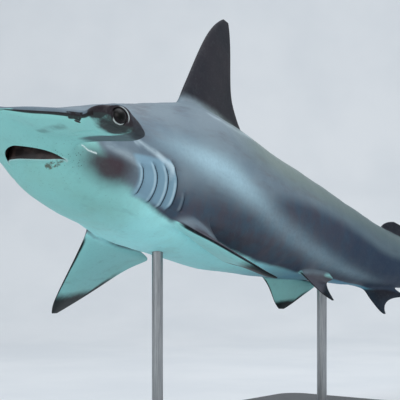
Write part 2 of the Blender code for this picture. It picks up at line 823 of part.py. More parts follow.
def base_plate(look):
    """The flat base, with rounded corners and a small bevel round its upper edge."""
    mesh = bpy.data.meshes.new("stand_base")
    shaped = bmesh.new()
    corners = []
    for sx, sy, start in ((1, 1, 0), (-1, 1, 90), (-1, -1, 180), (1, -1, 270)):
        centre = (sx * (BASE_LENGTH / 2 - BASE_CORNER), sy * (BASE_WIDTH / 2 - BASE_CORNER))
        for step in range(7):
            a = math.radians(start + 15 * step)
            around = (BASE_CORNER * math.cos(a), BASE_CORNER * math.sin(a))
            corners.append((centre[0] + around[0], centre[1] + around[1], 0.0))
    outline = shaped.faces.new([shaped.verts.new(c) for c in corners])
    grown = bmesh.ops.extrude_face_region(shaped, geom=[outline])
    lifted = [v for v in grown["geom"] if isinstance(v, bmesh.types.BMVert)]
    bmesh.ops.translate(shaped, verts=lifted, vec=(0, 0, BASE_THICKNESS))
    rim = [e for e in shaped.edges if all(v in lifted for v in e.verts)]
    bmesh.ops.bevel(shaped, geom=rim, offset=BASE_EDGE, segments=2, affect="EDGES")
    bmesh.ops.recalc_face_normals(shaped, faces=shaped.faces)
    shaped.to_mesh(mesh)
    shaped.free()
    made = bpy.data.objects.new("stand_base", mesh)
    bpy.context.scene.collection.objects.link(made)
    made.data.materials.append(look)
    return made


def swollen(source, by):
    """A hidden copy of an object, grown outwards a little, to cut its neighbours back from it."""
    copy = source.copy()
    copy.data = source.data.copy()
    copy.name = source.name + ".tool"
    bpy.context.scene.collection.objects.link(copy)
    grow = copy.modifiers.new("grow", "DISPLACE")
    grow.strength = by
    grow.mid_level = 0.0
    return copy


def rod(name, station, above, look):
    """A rod from the base up to the belly, ended on the belly's own curve."""
    under = place(station, 0.0, read(BODY, station, 2))
    foot = Vector((under.x, under.y, BASE_THICKNESS + GAP))
    made = cylinder(name, foot, under.z + ROD_REACH, ROD_RADIUS, look)
    combine(made, swollen(above, GAP))
    return made


def main():
    for old in list(bpy.data.objects):
        bpy.data.objects.remove(old)

    back = material("skin", (0.30, 0.31, 0.32), 0.45)
    fin_skin = material("fin_skin", (0.22, 0.21, 0.22), 0.5)
    eye_look = material("eye", (0.02, 0.02, 0.025), 0.1)
    metal = material("stand_metal", (0.32, 0.33, 0.34), 0.35, 0.9)
    plate = material("stand_plate", (0.12, 0.12, 0.13), 0.5)

    head = head_node(back)
    tree = skin_tree(head)
    add_mouth(head, tree)
    for side, name in ((1, "left"), (-1, "right")):
        add_nostril(head, tree, side)
        add_eye(head, side, name, eye_look)

    side_columns = (SIDE_COLUMN, COLUMN_COUNT - SIDE_COLUMN)
    pelvic_columns = (PELVIC_COLUMN, COLUMN_COUNT - PELVIC_COLUMN)
    front = body_node("torso_front", FRONT_RINGS, back, [(PECTORAL_SPAN, c) for c in side_columns])
    body_node("torso_middle", MIDDLE_RINGS, back, [(FIRST_DORSAL_SPAN, TOP_COLUMN)])
    rear = body_node("torso_rear", REAR_RINGS, back, [(PELVIC_SPAN, c) for c in pelvic_columns])
    median = [(SECOND_DORSAL_SPAN, TOP_COLUMN), (ANAL_SPAN, BOTTOM_COLUMN)]
    body_node("tail_stem", STEM_RINGS, back, median)
    tail_node("caudal_upper_lobe", TAIL_RINGS, fin_skin, [(LOWER_LOBE_SPAN, BOTTOM_COLUMN)])

    fin_node("first_dorsal_fin", fin_skin, MIDDLE_RINGS, FIRST_DORSAL_SPAN, TOP_COLUMN, FIRST_DORSAL)
    fin_node("second_dorsal_fin", fin_skin, STEM_RINGS, SECOND_DORSAL_SPAN, TOP_COLUMN, SECOND_DORSAL)
    fin_node("anal_fin", fin_skin, STEM_RINGS, ANAL_SPAN, BOTTOM_COLUMN, ANAL)
    fin_node("caudal_lower_lobe", fin_skin, TAIL_RINGS, LOWER_LOBE_SPAN, BOTTOM_COLUMN, LOWER_LOBE)
    for name, column, pose in (
        ("pectoral_fin_left", side_columns[0], PECTORAL_LEFT),
        ("pectoral_fin_right", side_columns[1], PECTORAL_RIGHT),
    ):
        rows = turned(PECTORAL, pose[2], PECTORAL_SPAN[0])
        fin_node(name, fin_skin, FRONT_RINGS, PECTORAL_SPAN, column, rows, pose[:2], pose[3:])
    for name, column, pose in (
        ("pelvic_fin_left", pelvic_columns[0], PELVIC_LEFT),
        ("pelvic_fin_right", pelvic_columns[1], PELVIC_RIGHT),
    ):
        rows = turned(PELVIC, pose[2], PELVIC_SPAN[0])
        fin_node(name, fin_skin, REAR_RINGS, PELVIC_SPAN, column, rows, pose[:2], pose[3:])

    base_plate(plate)
    for (name, station), above in zip(ROD_STATIONS, (front, rear)):
        rod(f"stand_rod_{name}", station, above, metal)


main()
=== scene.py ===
"""The looks of a life-size scalloped hammerhead on its display stand. Metres, +Z up.

One skin stands for every node of flesh. It starts as a coarse cage in the shark's own straight
coordinates (station behind the snout, left, up, each as a share of the length), is smoothed, gets its fine
relief and its openings, and is then bent and tipped into its pose over the stand.
"""

import math

import bmesh
import bpy
import numpy as np
from mathutils import Matrix, Vector, noise


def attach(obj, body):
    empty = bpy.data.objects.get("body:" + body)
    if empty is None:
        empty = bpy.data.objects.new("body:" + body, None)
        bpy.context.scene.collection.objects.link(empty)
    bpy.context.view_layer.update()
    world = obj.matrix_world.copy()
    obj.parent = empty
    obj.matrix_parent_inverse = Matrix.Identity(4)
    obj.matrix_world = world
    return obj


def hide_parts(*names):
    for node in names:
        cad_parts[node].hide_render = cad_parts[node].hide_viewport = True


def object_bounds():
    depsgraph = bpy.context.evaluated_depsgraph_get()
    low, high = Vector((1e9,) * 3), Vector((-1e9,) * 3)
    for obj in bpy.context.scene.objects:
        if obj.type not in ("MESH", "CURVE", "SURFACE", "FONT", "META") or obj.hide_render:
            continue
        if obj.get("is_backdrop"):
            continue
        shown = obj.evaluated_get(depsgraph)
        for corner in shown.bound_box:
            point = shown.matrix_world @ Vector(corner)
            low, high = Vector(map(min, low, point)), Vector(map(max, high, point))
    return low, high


TOTAL_LENGTH = 2.40
SMOOTHING = 3

# Pose on the stand
NOSE_UP = math.radians(12.9)
LEFT_SIDE_UP = math.radians(6.1)
REFERENCE_STATION = 0.30
REFERENCE_PLACE = np.array((-0.19, 0.04, 0.575))

# Camera, from the reference point: offset in body lengths and direction of view
CAMERA_OFFSET = np.array((-1.2263, -0.93581, -0.00617))
CAMERA_DIRECTION = Vector((0.80156, 0.59791, 0.0))
CAMERA_LENS = 143.05

# Swimming bend: station, sideways heading and rise of the spine there, in degrees
SPINE_BEND = (
    (0.00, -7.5, 0.0),
    (0.05, -6.4, 0.0),
    (0.12, -1.2, 0.0),
    (0.20, 1.4, 0.0),
    (0.30, 0.0, 0.0),
    (0.45, -6.6, 0.0),
    (0.60, -11.8, -1.2),
    (0.70, -11.0, 0.0),
    (0.76, -9.0, 22.0),
    (0.82, -6.5, 29.0),
    (1.00, 1.0, 31.0),
)
HEAD_SHIFT = ((0.0, 0.008), (0.09, 0.008), (0.20, 0.0))

# Body section: station, top, bottom, half width
BODY = (
    (0.005, 0.0038, -0.0055, 0.0400),
    (0.020, 0.0070, -0.0112, 0.0405),
    (0.040, 0.0126, -0.0180, 0.0410),
    (0.060, 0.0178, -0.0252, 0.0420),
    (0.080, 0.0232, -0.0408, 0.0448),
    (0.100, 0.0293, -0.0512, 0.0480),
    (0.120, 0.0363, -0.0562, 0.0498),
    (0.150, 0.0456, -0.0588, 0.0528),
    (0.180, 0.0552, -0.0610, 0.0565),
    (0.210, 0.0649, -0.0645, 0.0595),
    (0.240, 0.0738, -0.0660, 0.0618),
    (0.270, 0.0828, -0.0650, 0.0632),
    (0.300, 0.0858, -0.0645, 0.0640),
    (0.330, 0.0838, -0.0648, 0.0640),
    (0.360, 0.0782, -0.0638, 0.0625),
    (0.400, 0.0712, -0.0598, 0.0582),
    (0.450, 0.0640, -0.0540, 0.0511),
    (0.500, 0.0550, -0.0480, 0.0430),
    (0.550, 0.0445, -0.0425, 0.0355),
    (0.600, 0.0340, -0.0385, 0.0285),
    (0.650, 0.0265, -0.0300, 0.0215),
    (0.700, 0.0205, -0.0215, 0.0160),
    (0.730, 0.0190, -0.0215, 0.0125),
    (0.760, 0.0175, -0.0330, 0.0085),
    (0.785, 0.0160, -0.0440, 0.0066),
    (0.810, 0.0148, -0.0455, 0.0056),
    (0.840, 0.0130, -0.0385, 0.0048),
    (0.880, 0.0108, -0.0310, 0.0040),
    (0.920, 0.0086, -0.0255, 0.0032),
    (0.948, 0.0070, -0.0170, 0.0027),
    (0.960, 0.0063, -0.0175, 0.0025),
    (0.978, 0.0050, -0.0245, 0.0021),
    (0.992, 0.0034, -0.0190, 0.0016),
    (1.000, 0.0015, -0.0110, 0.0011),
)
SECTION_POWER = 0.9

# Ring stations of the cage, nose to tail
RINGS = (
    0.005, 0.014, 0.025, 0.038, 0.046, 0.052, 0.059, 0.066, 0.0725, 0.079, 0.0855, 0.092, 0.099, 0.106,
    0.120, 0.134, 0.146, 0.155, 0.1636, 0.174, 0.1836, 0.1915, 0.1993, 0.2055, 0.2118, 0.2165, 0.225,
    0.237, 0.251, 0.267, 0.283, 0.304, 0.328, 0.350, 0.368, 0.384, 0.407, 0.432, 0.460, 0.476, 0.492,
    0.508, 0.535, 0.565, 0.594, 0.606, 0.618, 0.630, 0.642, 0.656, 0.688, 0.712, 0.732, 0.750, 0.768,
    0.787, 0.806, 0.840, 0.880, 0.920, 0.946, 0.960, 0.980, 1.000,
)
HAMMER_ROOT_END = 0.079
PECTORAL_SPAN = (0.2165, 0.267)
FIRST_DORSAL_SPAN = (0.283, 0.384)
PELVIC_SPAN = (0.460, 0.508)
SECOND_DORSAL_SPAN = (0.618, 0.656)
ANAL_SPAN = (0.594, 0.642)
LOWER_LOBE_SPAN = (0.732, 0.806)

# Columns of the cage round a section
COLUMN_COUNT = 20
TOP_COLUMN = 0
SIDE_COLUMN = 5
PELVIC_COLUMN = 7
BOTTOM_COLUMN = 10
MEDIAN_COLUMN_DEG = 8.0
SIDE_COLUMN_DEG = ((0.09, 0.0, 24.0), (0.15, -20.0, 15.0), (0.21, -42.0, 9.0), (0.70, -42.0, 9.0))

# The hammer in plan: half span, front edge, rear edge, half thickness
HAMMER = (
    (0.0400, 0.0085, 0.0830, 0.0120),
    (0.0530, 0.0140, 0.0790, 0.0094),
    (0.0670, 0.0205, 0.0785, 0.0091),
    (0.0810, 0.0265, 0.0795, 0.0090),
    (0.0915, 0.0330, 0.0808, 0.0090),
    (0.0987, 0.0388, 0.0818, 0.0092),
    (0.1062, 0.0362, 0.0826, 0.0098),
    (0.1140, 0.0338, 0.0826, 0.0106),
    (0.1210, 0.0338, 0.0812, 0.0110),
    (0.1270, 0.0362, 0.0790, 0.0104),
    (0.1300, 0.0410, 0.0735, 0.0078),
)
HAMMER_LEVEL = -0.0058
HAMMER_TILT = 0.137
HAMMER_TWIST = -0.055
HAMMER_DROOP = 6.6
HAMMER_DROOP_FROM = 0.055
HAMMER_MIDDLE = 0.05
FRONT_BOW_FADE = 0.09

# Fins: height above the root, front edge, rear edge, half thickness
FIRST_DORSAL = (
    (0.0060, 0.2825, 0.4000, 0.0085),
    (0.0155, 0.2868, 0.3900, 0.0068),
    (0.0280, 0.2938, 0.3802, 0.0058),
    (0.0410, 0.3006, 0.3726, 0.0051),
    (0.0636, 0.3118, 0.3700, 0.0042),
    (0.0882, 0.3250, 0.3682, 0.0031),
    (0.1074, 0.3400, 0.3652, 0.0020),
    (0.1180, 0.3530, 0.3615, 0.0010),
)
SECOND_DORSAL = (
    (0.0038, 0.6190, 0.7080, 0.0034),
    (0.0070, 0.6220, 0.6820, 0.0027),
    (0.0110, 0.6275, 0.6640, 0.0021),
    (0.0148, 0.6345, 0.6570, 0.0016),
    (0.0178, 0.6430, 0.6550, 0.0011),
)
ANAL = (
    (0.0040, 0.5975, 0.6780, 0.0036),
    (0.0090, 0.6030, 0.6520, 0.0029),
    (0.0150, 0.6105, 0.6380, 0.0023),
    (0.0215, 0.6190, 0.6335, 0.0018),
    (0.0270, 0.6265, 0.6350, 0.0013),
    (0.0300, 0.6330, 0.6370, 0.0009),
)
PELVIC = (
    (0.0061, 0.4630, 0.5395, 0.0052),
    (0.0143, 0.4710, 0.5381, 0.0042),
    (0.0255, 0.4815, 0.5249, 0.0031),
    (0.0377, 0.4930, 0.5205, 0.0021),
    (0.0479, 0.5070, 0.5147, 0.0010),
)
PECTORAL = (
    (0.0055, 0.2192, 0.3040, 0.0105),
    (0.0135, 0.2230, 0.3400, 0.0088),
    (0.0220, 0.2275, 0.3385, 0.0075),
    (0.0360, 0.2355, 0.3310, 0.0062),
    (0.0545, 0.2460, 0.3275, 0.0050),
    (0.0730, 0.2570, 0.3245, 0.0040),
    (0.0905, 0.2685, 0.3185, 0.0031),
    (0.1045, 0.2780, 0.3105, 0.0021),
    (0.1150, 0.2890, 0.2985, 0.0010),
)
LOWER_LOBE = (
    (0.0080, 0.7365, 0.8060, 0.0050),
    (0.0220, 0.7430, 0.7960, 0.0040),
    (0.0400, 0.7510, 0.7890, 0.0031),
    (0.0580, 0.7590, 0.7850, 0.0023),
    (0.0720, 0.7670, 0.7830, 0.0016),
    (0.0810, 0.7740, 0.7810, 0.0010),
)
# Lean below the level at root and tip, swing back, in degrees, and rise of the rear edge at root and tip
PECTORAL_LEFT = (44.5, 44.5, 32.8, -0.255, -0.485)
PECTORAL_RIGHT = (42.3, 36.0, -2.2, 0.013, 0.295)
PELVIC_LEFT = (91.2, 83.8, 19.7, -0.226, -0.509)
PELVIC_RIGHT = (84.0, 52.9, 8.4, -0.335, 0.041)
# Share of the height where a fin's pitch is full
PECTORAL_PITCH_FULL = 0.20
PELVIC_PITCH_FULL = 0.45

# Gill slits: station of the slit, angles where it fades in and out below and above
GILL_SLITS = (
    (0.1636, -38, -33, -12, -6),
    (0.1836, -41, -36, -8, -2),
    (0.1993, -42, -36, -8, -1),
    (0.2118, -38, -32, -4, 3),
    (0.2250, -37, -34, -27, -20),
)
# How far ahead of its station a slit lies by angle, and the share of that by station
GILL_BEND = (
    (-60, -0.005), (-45, -0.003), (-36, -0.001), (-25, 0.0), (-18, -0.0008),
    (-12, -0.003), (-8, -0.006), (-4, -0.0085), (1, -0.013), (8, -0.015),
)
GILL_BEND_SHARE = ((0.134, 0.0), (0.156, 1.0), (0.226, 1.0), (0.262, 0.0))
# Swell of a flap and hollow of a slit, in metres
FLAP_RISE = 0.0048
FLAP_LENGTH = 0.034
FLAP_POWER = 1.6
SLIT_DEPTH = 0.0100
SLIT_EDGE = 0.0016
SLIT_LENGTH = 0.0075

# Mouth: the line through its corners, and each jaw's reach forward of it and roundness
MOUTH_CORNER = 0.0721
MOUTH_SLANT = 0.25
MOUTH_MIDDLE = 0.0100
MOUTH_HALF_WIDTH = 0.0275
UPPER_JAW = (0.0270, 1.5)
LOWER_JAW = (0.0100, 2.0)
MOUTH_CENTRE_AHEAD = 0.016
# The mouth's layers, from below the lips to its roof: height, share of its width
MOUTH_LAYERS = (
    (-0.0600, 1.0), (-0.0300, 1.0), (-0.0230, 1.02), (-0.0170, 1.0), (-0.0120, 0.9), (-0.0085, 0.6),
)
# Lips, in metres: height, distance from the mouth's edge, width
UPPER_LIP = (0.0014, 0.0020, 0.0026)
LOWER_LIP = (0.0022, 0.0034, 0.0034)
CHIN_FOLD = (-0.0010, 0.0110, 0.0030)

# Nostrils: station, distance out, length, width, depth
NOSTRIL = (0.0366, 0.0930, 0.0058, 0.0018, 0.0045)
NOSTRIL_TURN = math.radians(42)
NOSTRIL_BELOW = 0.0095

# Eyes
EYE_STATION = 0.0515
EYE_OUT = 0.1225
EYE_RADIUS = 0.0088
EYE_RISE = -0.0005
EYE_OPENING = 0.0074
LID_HEIGHT = 0.0012
LID_WIDTH = 0.0060
SUNK_BELOW_EYE = 0.0008

# Where the grey back gives way to the pale belly: station, angle above the level
SHADE_EDGE = (
    (0.085, 26), (0.094, 14), (0.102, 4), (0.110, -6), (0.124, -20), (0.150, -31), (0.190, -41),
    (0.240, -48), (0.310, -53), (0.360, -57), (0.400, -61), (0.450, -65), (0.530, -73), (0.640, -88),
    (1.000, -100),
)
# Lower edge of the lighter upper flank, where painted shade on the lower flank begins, and the line and
# strength of its sheen
LOWER_FLANK_SHADE_EDGE = (
    (0.12, -6), (0.20, -20), (0.26, -17), (0.30, -17), (0.34, -11), (0.38, 1), (0.42, 8), (0.51, 10),
    (0.56, 4), (0.62, -4), (0.80, 0),
)
SHEEN_LINE = (
    (0.16, 24, 0.0), (0.22, 12, 0.6), (0.26, 4, 1.0), (0.30, -3, 0.95), (0.34, -10, 0.6), (0.38, -18, 0.4),
    (0.42, -26, 0.35), (0.48, -38, 0.4), (0.54, -50, 0.4), (0.62, -60, 0.0),
)
# Painted highlights on the folds ahead of the gill flaps and under the rear of the dorsal fin: station,
# angle
GLEAMS = (
    ((0.116, 5), (0.128, 1), (0.142, -3), (0.1530, -9)),
    ((0.150, 14), (0.1632, 11), (0.1761, 6), (0.1899, 0), (0.2000, -5), (0.2020, -12)),
    ((0.283, 51), (0.296, 47), (0.308, 44), (0.325, 44), (0.350, 49)),
)
# How each gleam fades: half width at full strength, half width in all, strength
GLEAM_WIDTHS = ((0.0, 0.0090, 0.5), (0.0004, 0.0040, 1.0), (0.0, 0.0050, 0.6))
# Length on the skin of one degree round the gills
DEGREE_ARC = 0.00096
# Blotch on the cheek and pale flaps of the gills: fades by station and by angle
CHEEK = ((0.070, 0.122, 0.126, 0.166), (-48, -18, -15, 6))
FLAPS = ((0.150, 0.166, 0.208, 0.2125), (-44, -32, -3, 6))
# Marks on the left side only. Under the head: station, distance out
SMUDGE = ((0.0430, 0.0440), (0.0372, 0.0620), (0.0376, 0.0770))
SCUFF = ((0.0730, 0.0215), (0.0738, 0.0280), (0.0758, 0.0335))
# On the cheek: station, angle
SCRATCH = ((0.0872, -7.3), (0.0934, -10.1), (0.1018, -9.5))
# The nostril's notch in the front edge: station, distance out
NOTCH = (
    (0.0330, 0.0890), (0.0354, 0.0931), (0.0384, 0.0955), (0.0374, 0.0995), (0.0362, 0.1030),
    (0.0350, 0.1085),
)
# The dark patch before the eye: station, distance out, height
PATCH = ((0.0350, 0.1130, -0.0090), (0.0370, 0.1215, -0.0115), (0.0420, 0.1285, -0.0090))

# Line of the fold on the hammer's underside: distance out, station
REAR_FOLD = ((0.060, 0.0500), (0.084, 0.0502), (0.095, 0.0510), (0.100, 0.0528), (0.120, 0.0600))
# Grooves and rolls along it: height in metres, distance behind it, width, fades by distance out
REAR_FOLDS = (
    (-0.002592, 0.0, 0.0013, (0.074, 0.081, 0.098, 0.106)),
    (0.002304, 0.0045, 0.0026, (0.066, 0.076, 0.104, 0.116)),
    (-0.001728, 0.0095, 0.0030, (0.060, 0.070, 0.110, 0.122)),
)
CORNER_FOLD = (-0.001728, 0.0885, 0.0018)
CORNER_FOLD_SPAN = (0.028, 0.033, 0.038, 0.043)
CORNER_FOLD_SLANT = 0.25
# Soft unevenness of the trunk: height in metres, grain, seed
TRUNK_NOISE = ((0.0030, 26, 1), (0.0012, 70, 2))

FLESH_NODES = (
    "head", "torso_front", "torso_middle", "torso_rear", "tail_stem", "caudal_upper_lobe",
    "caudal_lower_lobe", "first_dorsal_fin", "second_dorsal_fin", "anal_fin", "pectoral_fin_left",
    "pectoral_fin_right", "pelvic_fin_left", "pelvic_fin_right",
)


# Curves and the pose


def read(table, x, column=1):
    """A column of a table at x, one number or many, on a smooth curve through its stations."""
    xs = np.array([row[0] for row in table], float)
    ys = np.array([row[column] for row in table], float)
    steps = np.diff(ys) / np.diff(xs)
    slopes = np.empty(len(xs))
    slopes[0], slopes[-1] = steps[0], steps[-1]
    slopes[1:-1] = (ys[2:] - ys[:-2]) / (xs[2:] - xs[:-2])
    slopes[1:-1][steps[1:] * steps[:-1] <= 0] = 0.0
    i = np.clip(np.searchsorted(xs, x, "right") - 1, 0, len(xs) - 2)
    width = xs[i + 1] - xs[i]
    t = np.clip((x - xs[i]) / width, 0, 1)
    start, end, rise = slopes[i] * width, slopes[i + 1] * width, ys[i + 1] - ys[i]
    return ys[i] + t * (start + t * (3 * rise - 2 * start - end + t * (start + end - 2 * rise)))


def step(low, high, x):
    """Smooth step from 0 at low to 1 at high."""
    t = np.clip((x - low) / (high - low), 0, 1)
    return t * t * (3 - 2 * t)


def window(low, full_low, full_high, high, x):
    """1 between two values, fading out on both sides."""
    return step(low, full_low, x) * (1 - step(full_high, high, x))


def hump(x, height, middle, width):
    """A smooth rise of a height round a middle."""
    return height * np.exp(-(((x - middle) / width) ** 2))


def between(low, x, high):
    """Whether each value lies between two others."""
    return (x > low) & (x < high)


def heading(station):
    """Unit vectors along the spine towards the tail."""
    side, rise = (np.radians(read(SPINE_BEND, station, c)) for c in (1, 2))
    return np.stack((np.cos(side) * np.cos(rise), np.sin(side) * np.cos(rise), np.sin(rise)), -1)


def walk_spine(steps=400):
    """Points along the spine at even stations, with the reference station at the origin."""
    middles = (np.arange(steps) + 0.5) / steps
    points = np.vstack((np.zeros(3), np.cumsum(heading(middles) / steps, axis=0)))
    return points - points[round(REFERENCE_STATION * steps)]


SPINE = walk_spine()
POSE = np.array(Matrix.Rotation(NOSE_UP, 3, "Y") @ Matrix.Rotation(-LEFT_SIDE_UP, 3, "X"))


def place(points):
    """Points in the shark's straight coordinates, bent and set over the stand."""
    points = np.atleast_2d(points)
    station, left, up = points.T
    steps = len(SPINE) - 1
    at = np.clip(station, 0, 1) * steps
    i = np.minimum(at.astype(int), steps - 1)
    share = (at - i)[:, None]
    ahead = heading(station)
    spine = SPINE[i] * (1 - share) + SPINE[i + 1] * share + ahead * (station - at / steps)[:, None]
    side = np.radians(read(SPINE_BEND, station, 1))
    to_left = np.stack((np.sin(side), -np.cos(side), np.zeros(len(side))), -1)
    to_up = np.cross(to_left, ahead)
    left = left + read(HEAD_SHIFT, station)
    local = spine + to_left * left[:, None] + to_up * up[:, None]
    return REFERENCE_PLACE + local @ POSE.T * TOTAL_LENGTH


# The cage


def column_angles(station):
    """Angles of the cage's columns above the level, from the top down the left side and up the right."""
    middle, spread = (float(read(SIDE_COLUMN_DEG, station, c)) for c in (1, 2))
    upper, lower = 90 - MEDIAN_COLUMN_DEG, -90 + MEDIAN_COLUMN_DEG
    last = SIDE_COLUMN - 2
    down = [upper + (middle + spread - upper) * i / last for i in range(last + 1)]
    under = [middle - spread + (lower - middle + spread) * i / last for i in range(last + 1)]
    left = [*down, middle, *under]
    return [90.0, *left, -90.0, *(180 - a for a in reversed(left))]


def power(value):
    """A rounded square's ordinate for a circle's."""
    return math.copysign(abs(value) ** SECTION_POWER, value)


def front_edge(left):
    """How far back the front edge of the head lies, by distance from the middle line."""
    return read(((0.0, 0.0050), (0.018, 0.0032), *[row[:2] for row in HAMMER]), abs(left))


def swell(angles, i):
    """How far out a column stands so that the smoothed surface meets the true section."""
    before, after = angles[i - 1] - angles[i], angles[i] - angles[(i + 1) % len(angles)]
    corner = (math.cos(math.radians(before)) + math.cos(math.radians(after))) / 2
    return 3 / (2 + corner)


def head_twist(station, left):
    """The hammer's small twist about the spine, which dies away over the gills."""
    return HAMMER_TWIST * left * max(0.0, 1 - station / 0.14) ** 0.5


def gill_bend(station, angle):
    """How far ahead of its station a point of a ring lies, so that the rings follow the gill slits."""
    side = angle if angle <= 90 else 180 - angle
    return float(read(GILL_BEND, side) * read(GILL_BEND_SHARE, station))


def ring(station):
    """The cage's points round the body at a station."""
    fade = max(0.0, 1 - station / FRONT_BOW_FADE)
    angles = column_angles(station)
    points = []
    for i, degrees in enumerate(angles):
        at = station + gill_bend(station, degrees)
        top, bottom, half = (read(BODY, at, c) for c in (1, 2, 3))
        angle = math.radians(degrees)
        out = swell(angles, i)
        left = half * out * power(math.cos(angle))
        up = (top + bottom) / 2 + (top - bottom) / 2 * out * power(math.sin(angle))
        shift = (front_edge(left) - front_edge(0.0)) * fade
        points.append((at + shift, left, up + head_twist(station, left)))
    return points


def bare_strip(first, last, column):
    """Ring and column of each cage point round a strip two faces wide, front point first."""
    side_a = [(i, column - 1) for i in range(first, last + 1)]
    side_b = [(i, column + 1) for i in range(last, first - 1, -1)]
    return [(first, column), *side_a, (last, column), *side_b]


class Cage:
    """A coarse closed mesh. Each point also keeps its share of a fin's height and chord."""

    def __init__(self):
        self.points = []
        self.fin = []
        self.faces = []

    def add(self, points, fin=None):
        """New points; returns their numbers."""
        first = len(self.points)
        self.points += [tuple(map(float, p)) for p in points]
        self.fin += fin or [(0.0, 0.0, 0.0)] * len(points)
        return list(range(first, len(self.points)))

    def bridge(self, a, b):
        """Four-sided faces between two loops of equal length."""
        n = len(a)
        self.faces += [(a[k], a[(k + 1) % n], b[(k + 1) % n], b[k]) for k in range(n)]

    def close_blade(self, loop):
        """Faces across a fin section, from its front point to its rear one."""
        half = len(loop) // 2
        side_a, side_b = loop[1:half], loop[:half:-1]
        self.faces.append((loop[0], side_a[0], side_b[0]))
        for i in range(len(side_a) - 1):
            self.faces.append((side_a[i], side_a[i + 1], side_b[i + 1], side_b[i]))
        self.faces.append((side_a[-1], loop[half], side_b[-1]))


def blade_thickness(share):
    """Thickness of a fin section along its chord, as a share of the greatest."""
    thickest = 0.3
    if share < thickest:
        return math.sqrt(share / thickest)
    return ((1 - share) / (1 - thickest)) ** 0.85


def turned(rows, angle, pivot):
    """Fin rows swung back about the front of the root by an angle in degrees."""
    c, s = math.cos(math.radians(angle)), math.sin(math.radians(angle))
    swung = []
    for height, front, rear, thick in rows:
        x, end = front - pivot, rear - pivot
        nose = height * c - x * s
        tail = max(height * c - end * s, 0.25 * nose)
        swung.append((nose, pivot + x * c + height * s, pivot + end * c + height * s, thick, tail))
    return swung


def fin_section(row, count, root, to_tip, pitch):
    """Points round one section of a fin: front point, one side, rear point, other side."""
    height, front, rear, thick = row[:4]
    rear_height = row[4] if len(row) > 4 else height
    normal = (-to_tip[1], to_tip[0])
    chord = rear - front

    def point(share, depth):
        station = front + chord * share
        out = height + (rear_height - height) * share
        across = depth + pitch * chord * share
        left, up = root(station)
        return (
            station,
            left + to_tip[0] * out + normal[0] * across,
            up + to_tip[1] * out + normal[1] * across,
        )

    shares = chord_shares(count)
    depths = [thick * blade_thickness(f) for f in shares]
    side_a = [point(f, d) for f, d in zip(shares, depths)]
    side_b = [point(f, -d) for f, d in zip(shares, depths)]
    return [point(0.0, 0.0), *side_a, point(1.0, 0.0), *side_b[::-1]]


def chord_shares(count):
    """Share of the chord of each point on one side of a fin section."""
    return [(i + 0.42) / (count - 0.16) for i in range(count)]


def grow_fin(cage, rings, span, column, rows, lean=None, pitch=(0.0, 0.0)):
    """A fin grown from the open strip of body between two stations."""
    first, last = (RINGS.index(s) for s in span)
    count = last - first + 1
    chords = chord_shares(count)
    full_pitch = PELVIC_PITCH_FULL if span == PELVIC_SPAN else PECTORAL_PITCH_FULL
    loop = [rings[i][k % COLUMN_COUNT] for i, k in bare_strip(first, last, column)]
    angle = math.radians(column_angles((span[0] + span[1]) / 2)[column])
    out = (math.cos(angle), math.sin(angle))

    def root(station):
        held = min(max(station, span[0]), span[1])
        top, bottom, wide = (read(BODY, held, c) for c in (1, 2, 3))
        level, height = (top + bottom) / 2, (top - bottom) / 2
        at = math.radians(column_angles(held)[column])
        return wide * power(math.cos(at)), level + height * power(math.sin(at))

    for row in rows:
        share = row[0] / rows[-1][0]
        to_tip = out
        if lean:
            below = math.radians(lean[0] + (lean[1] - lean[0]) * share)
            to_tip = (math.copysign(math.cos(below), out[0]), -math.sin(below))
        tilt = math.copysign(1.0, out[0]) * (pitch[0] + (pitch[1] - pitch[0]) * share)
        tilt *= min(1.0, share / full_pitch)
        marks = [(share, c, float(bool(lean))) for c in (0.0, *chords, 1.0, *chords[::-1])]
        section = cage.add(fin_section(row, count, root, to_tip, tilt), marks)
        cage.bridge(loop, section)
        loop = section
    cage.close_blade(loop)


def hammer_up(station, left):
    """Height of the hammer's middle surface, which droops towards its rear edge."""
    droop = HAMMER_DROOP * max(0.0, station - HAMMER_DROOP_FROM) ** 2
    return HAMMER_LEVEL - HAMMER_TILT * (station - HAMMER_MIDDLE) + HAMMER_TWIST * left - droop


def hammer_section(row, count, side):
    """Points round one section of the hammer, from its front edge to its rear one and back."""
    out, front, rear, thick = row
    left = side * out

    def point(share, above):
        station = front + (rear - front) * share
        return (station, left, hammer_up(station, left) + above)

    shares = [0.035 + 0.92 * i / (count - 1) for i in range(count)]
    round_off = [0.45 + 0.55 * math.sin(math.pi * min(f * 1.25, 1 - f / 4)) ** 0.7 for f in shares]
    depths = [thick * r * (1 - f**5) for f, r in zip(shares, round_off)]
    above = [point(f, d * min(1.0, 0.62 + f)) for f, d in zip(shares, depths)]
    below = [point(f, -d) for f, d in zip(shares, depths)]
    return [point(0.0, 0.0), *above, point(1.0, 0.0), *below[::-1]]


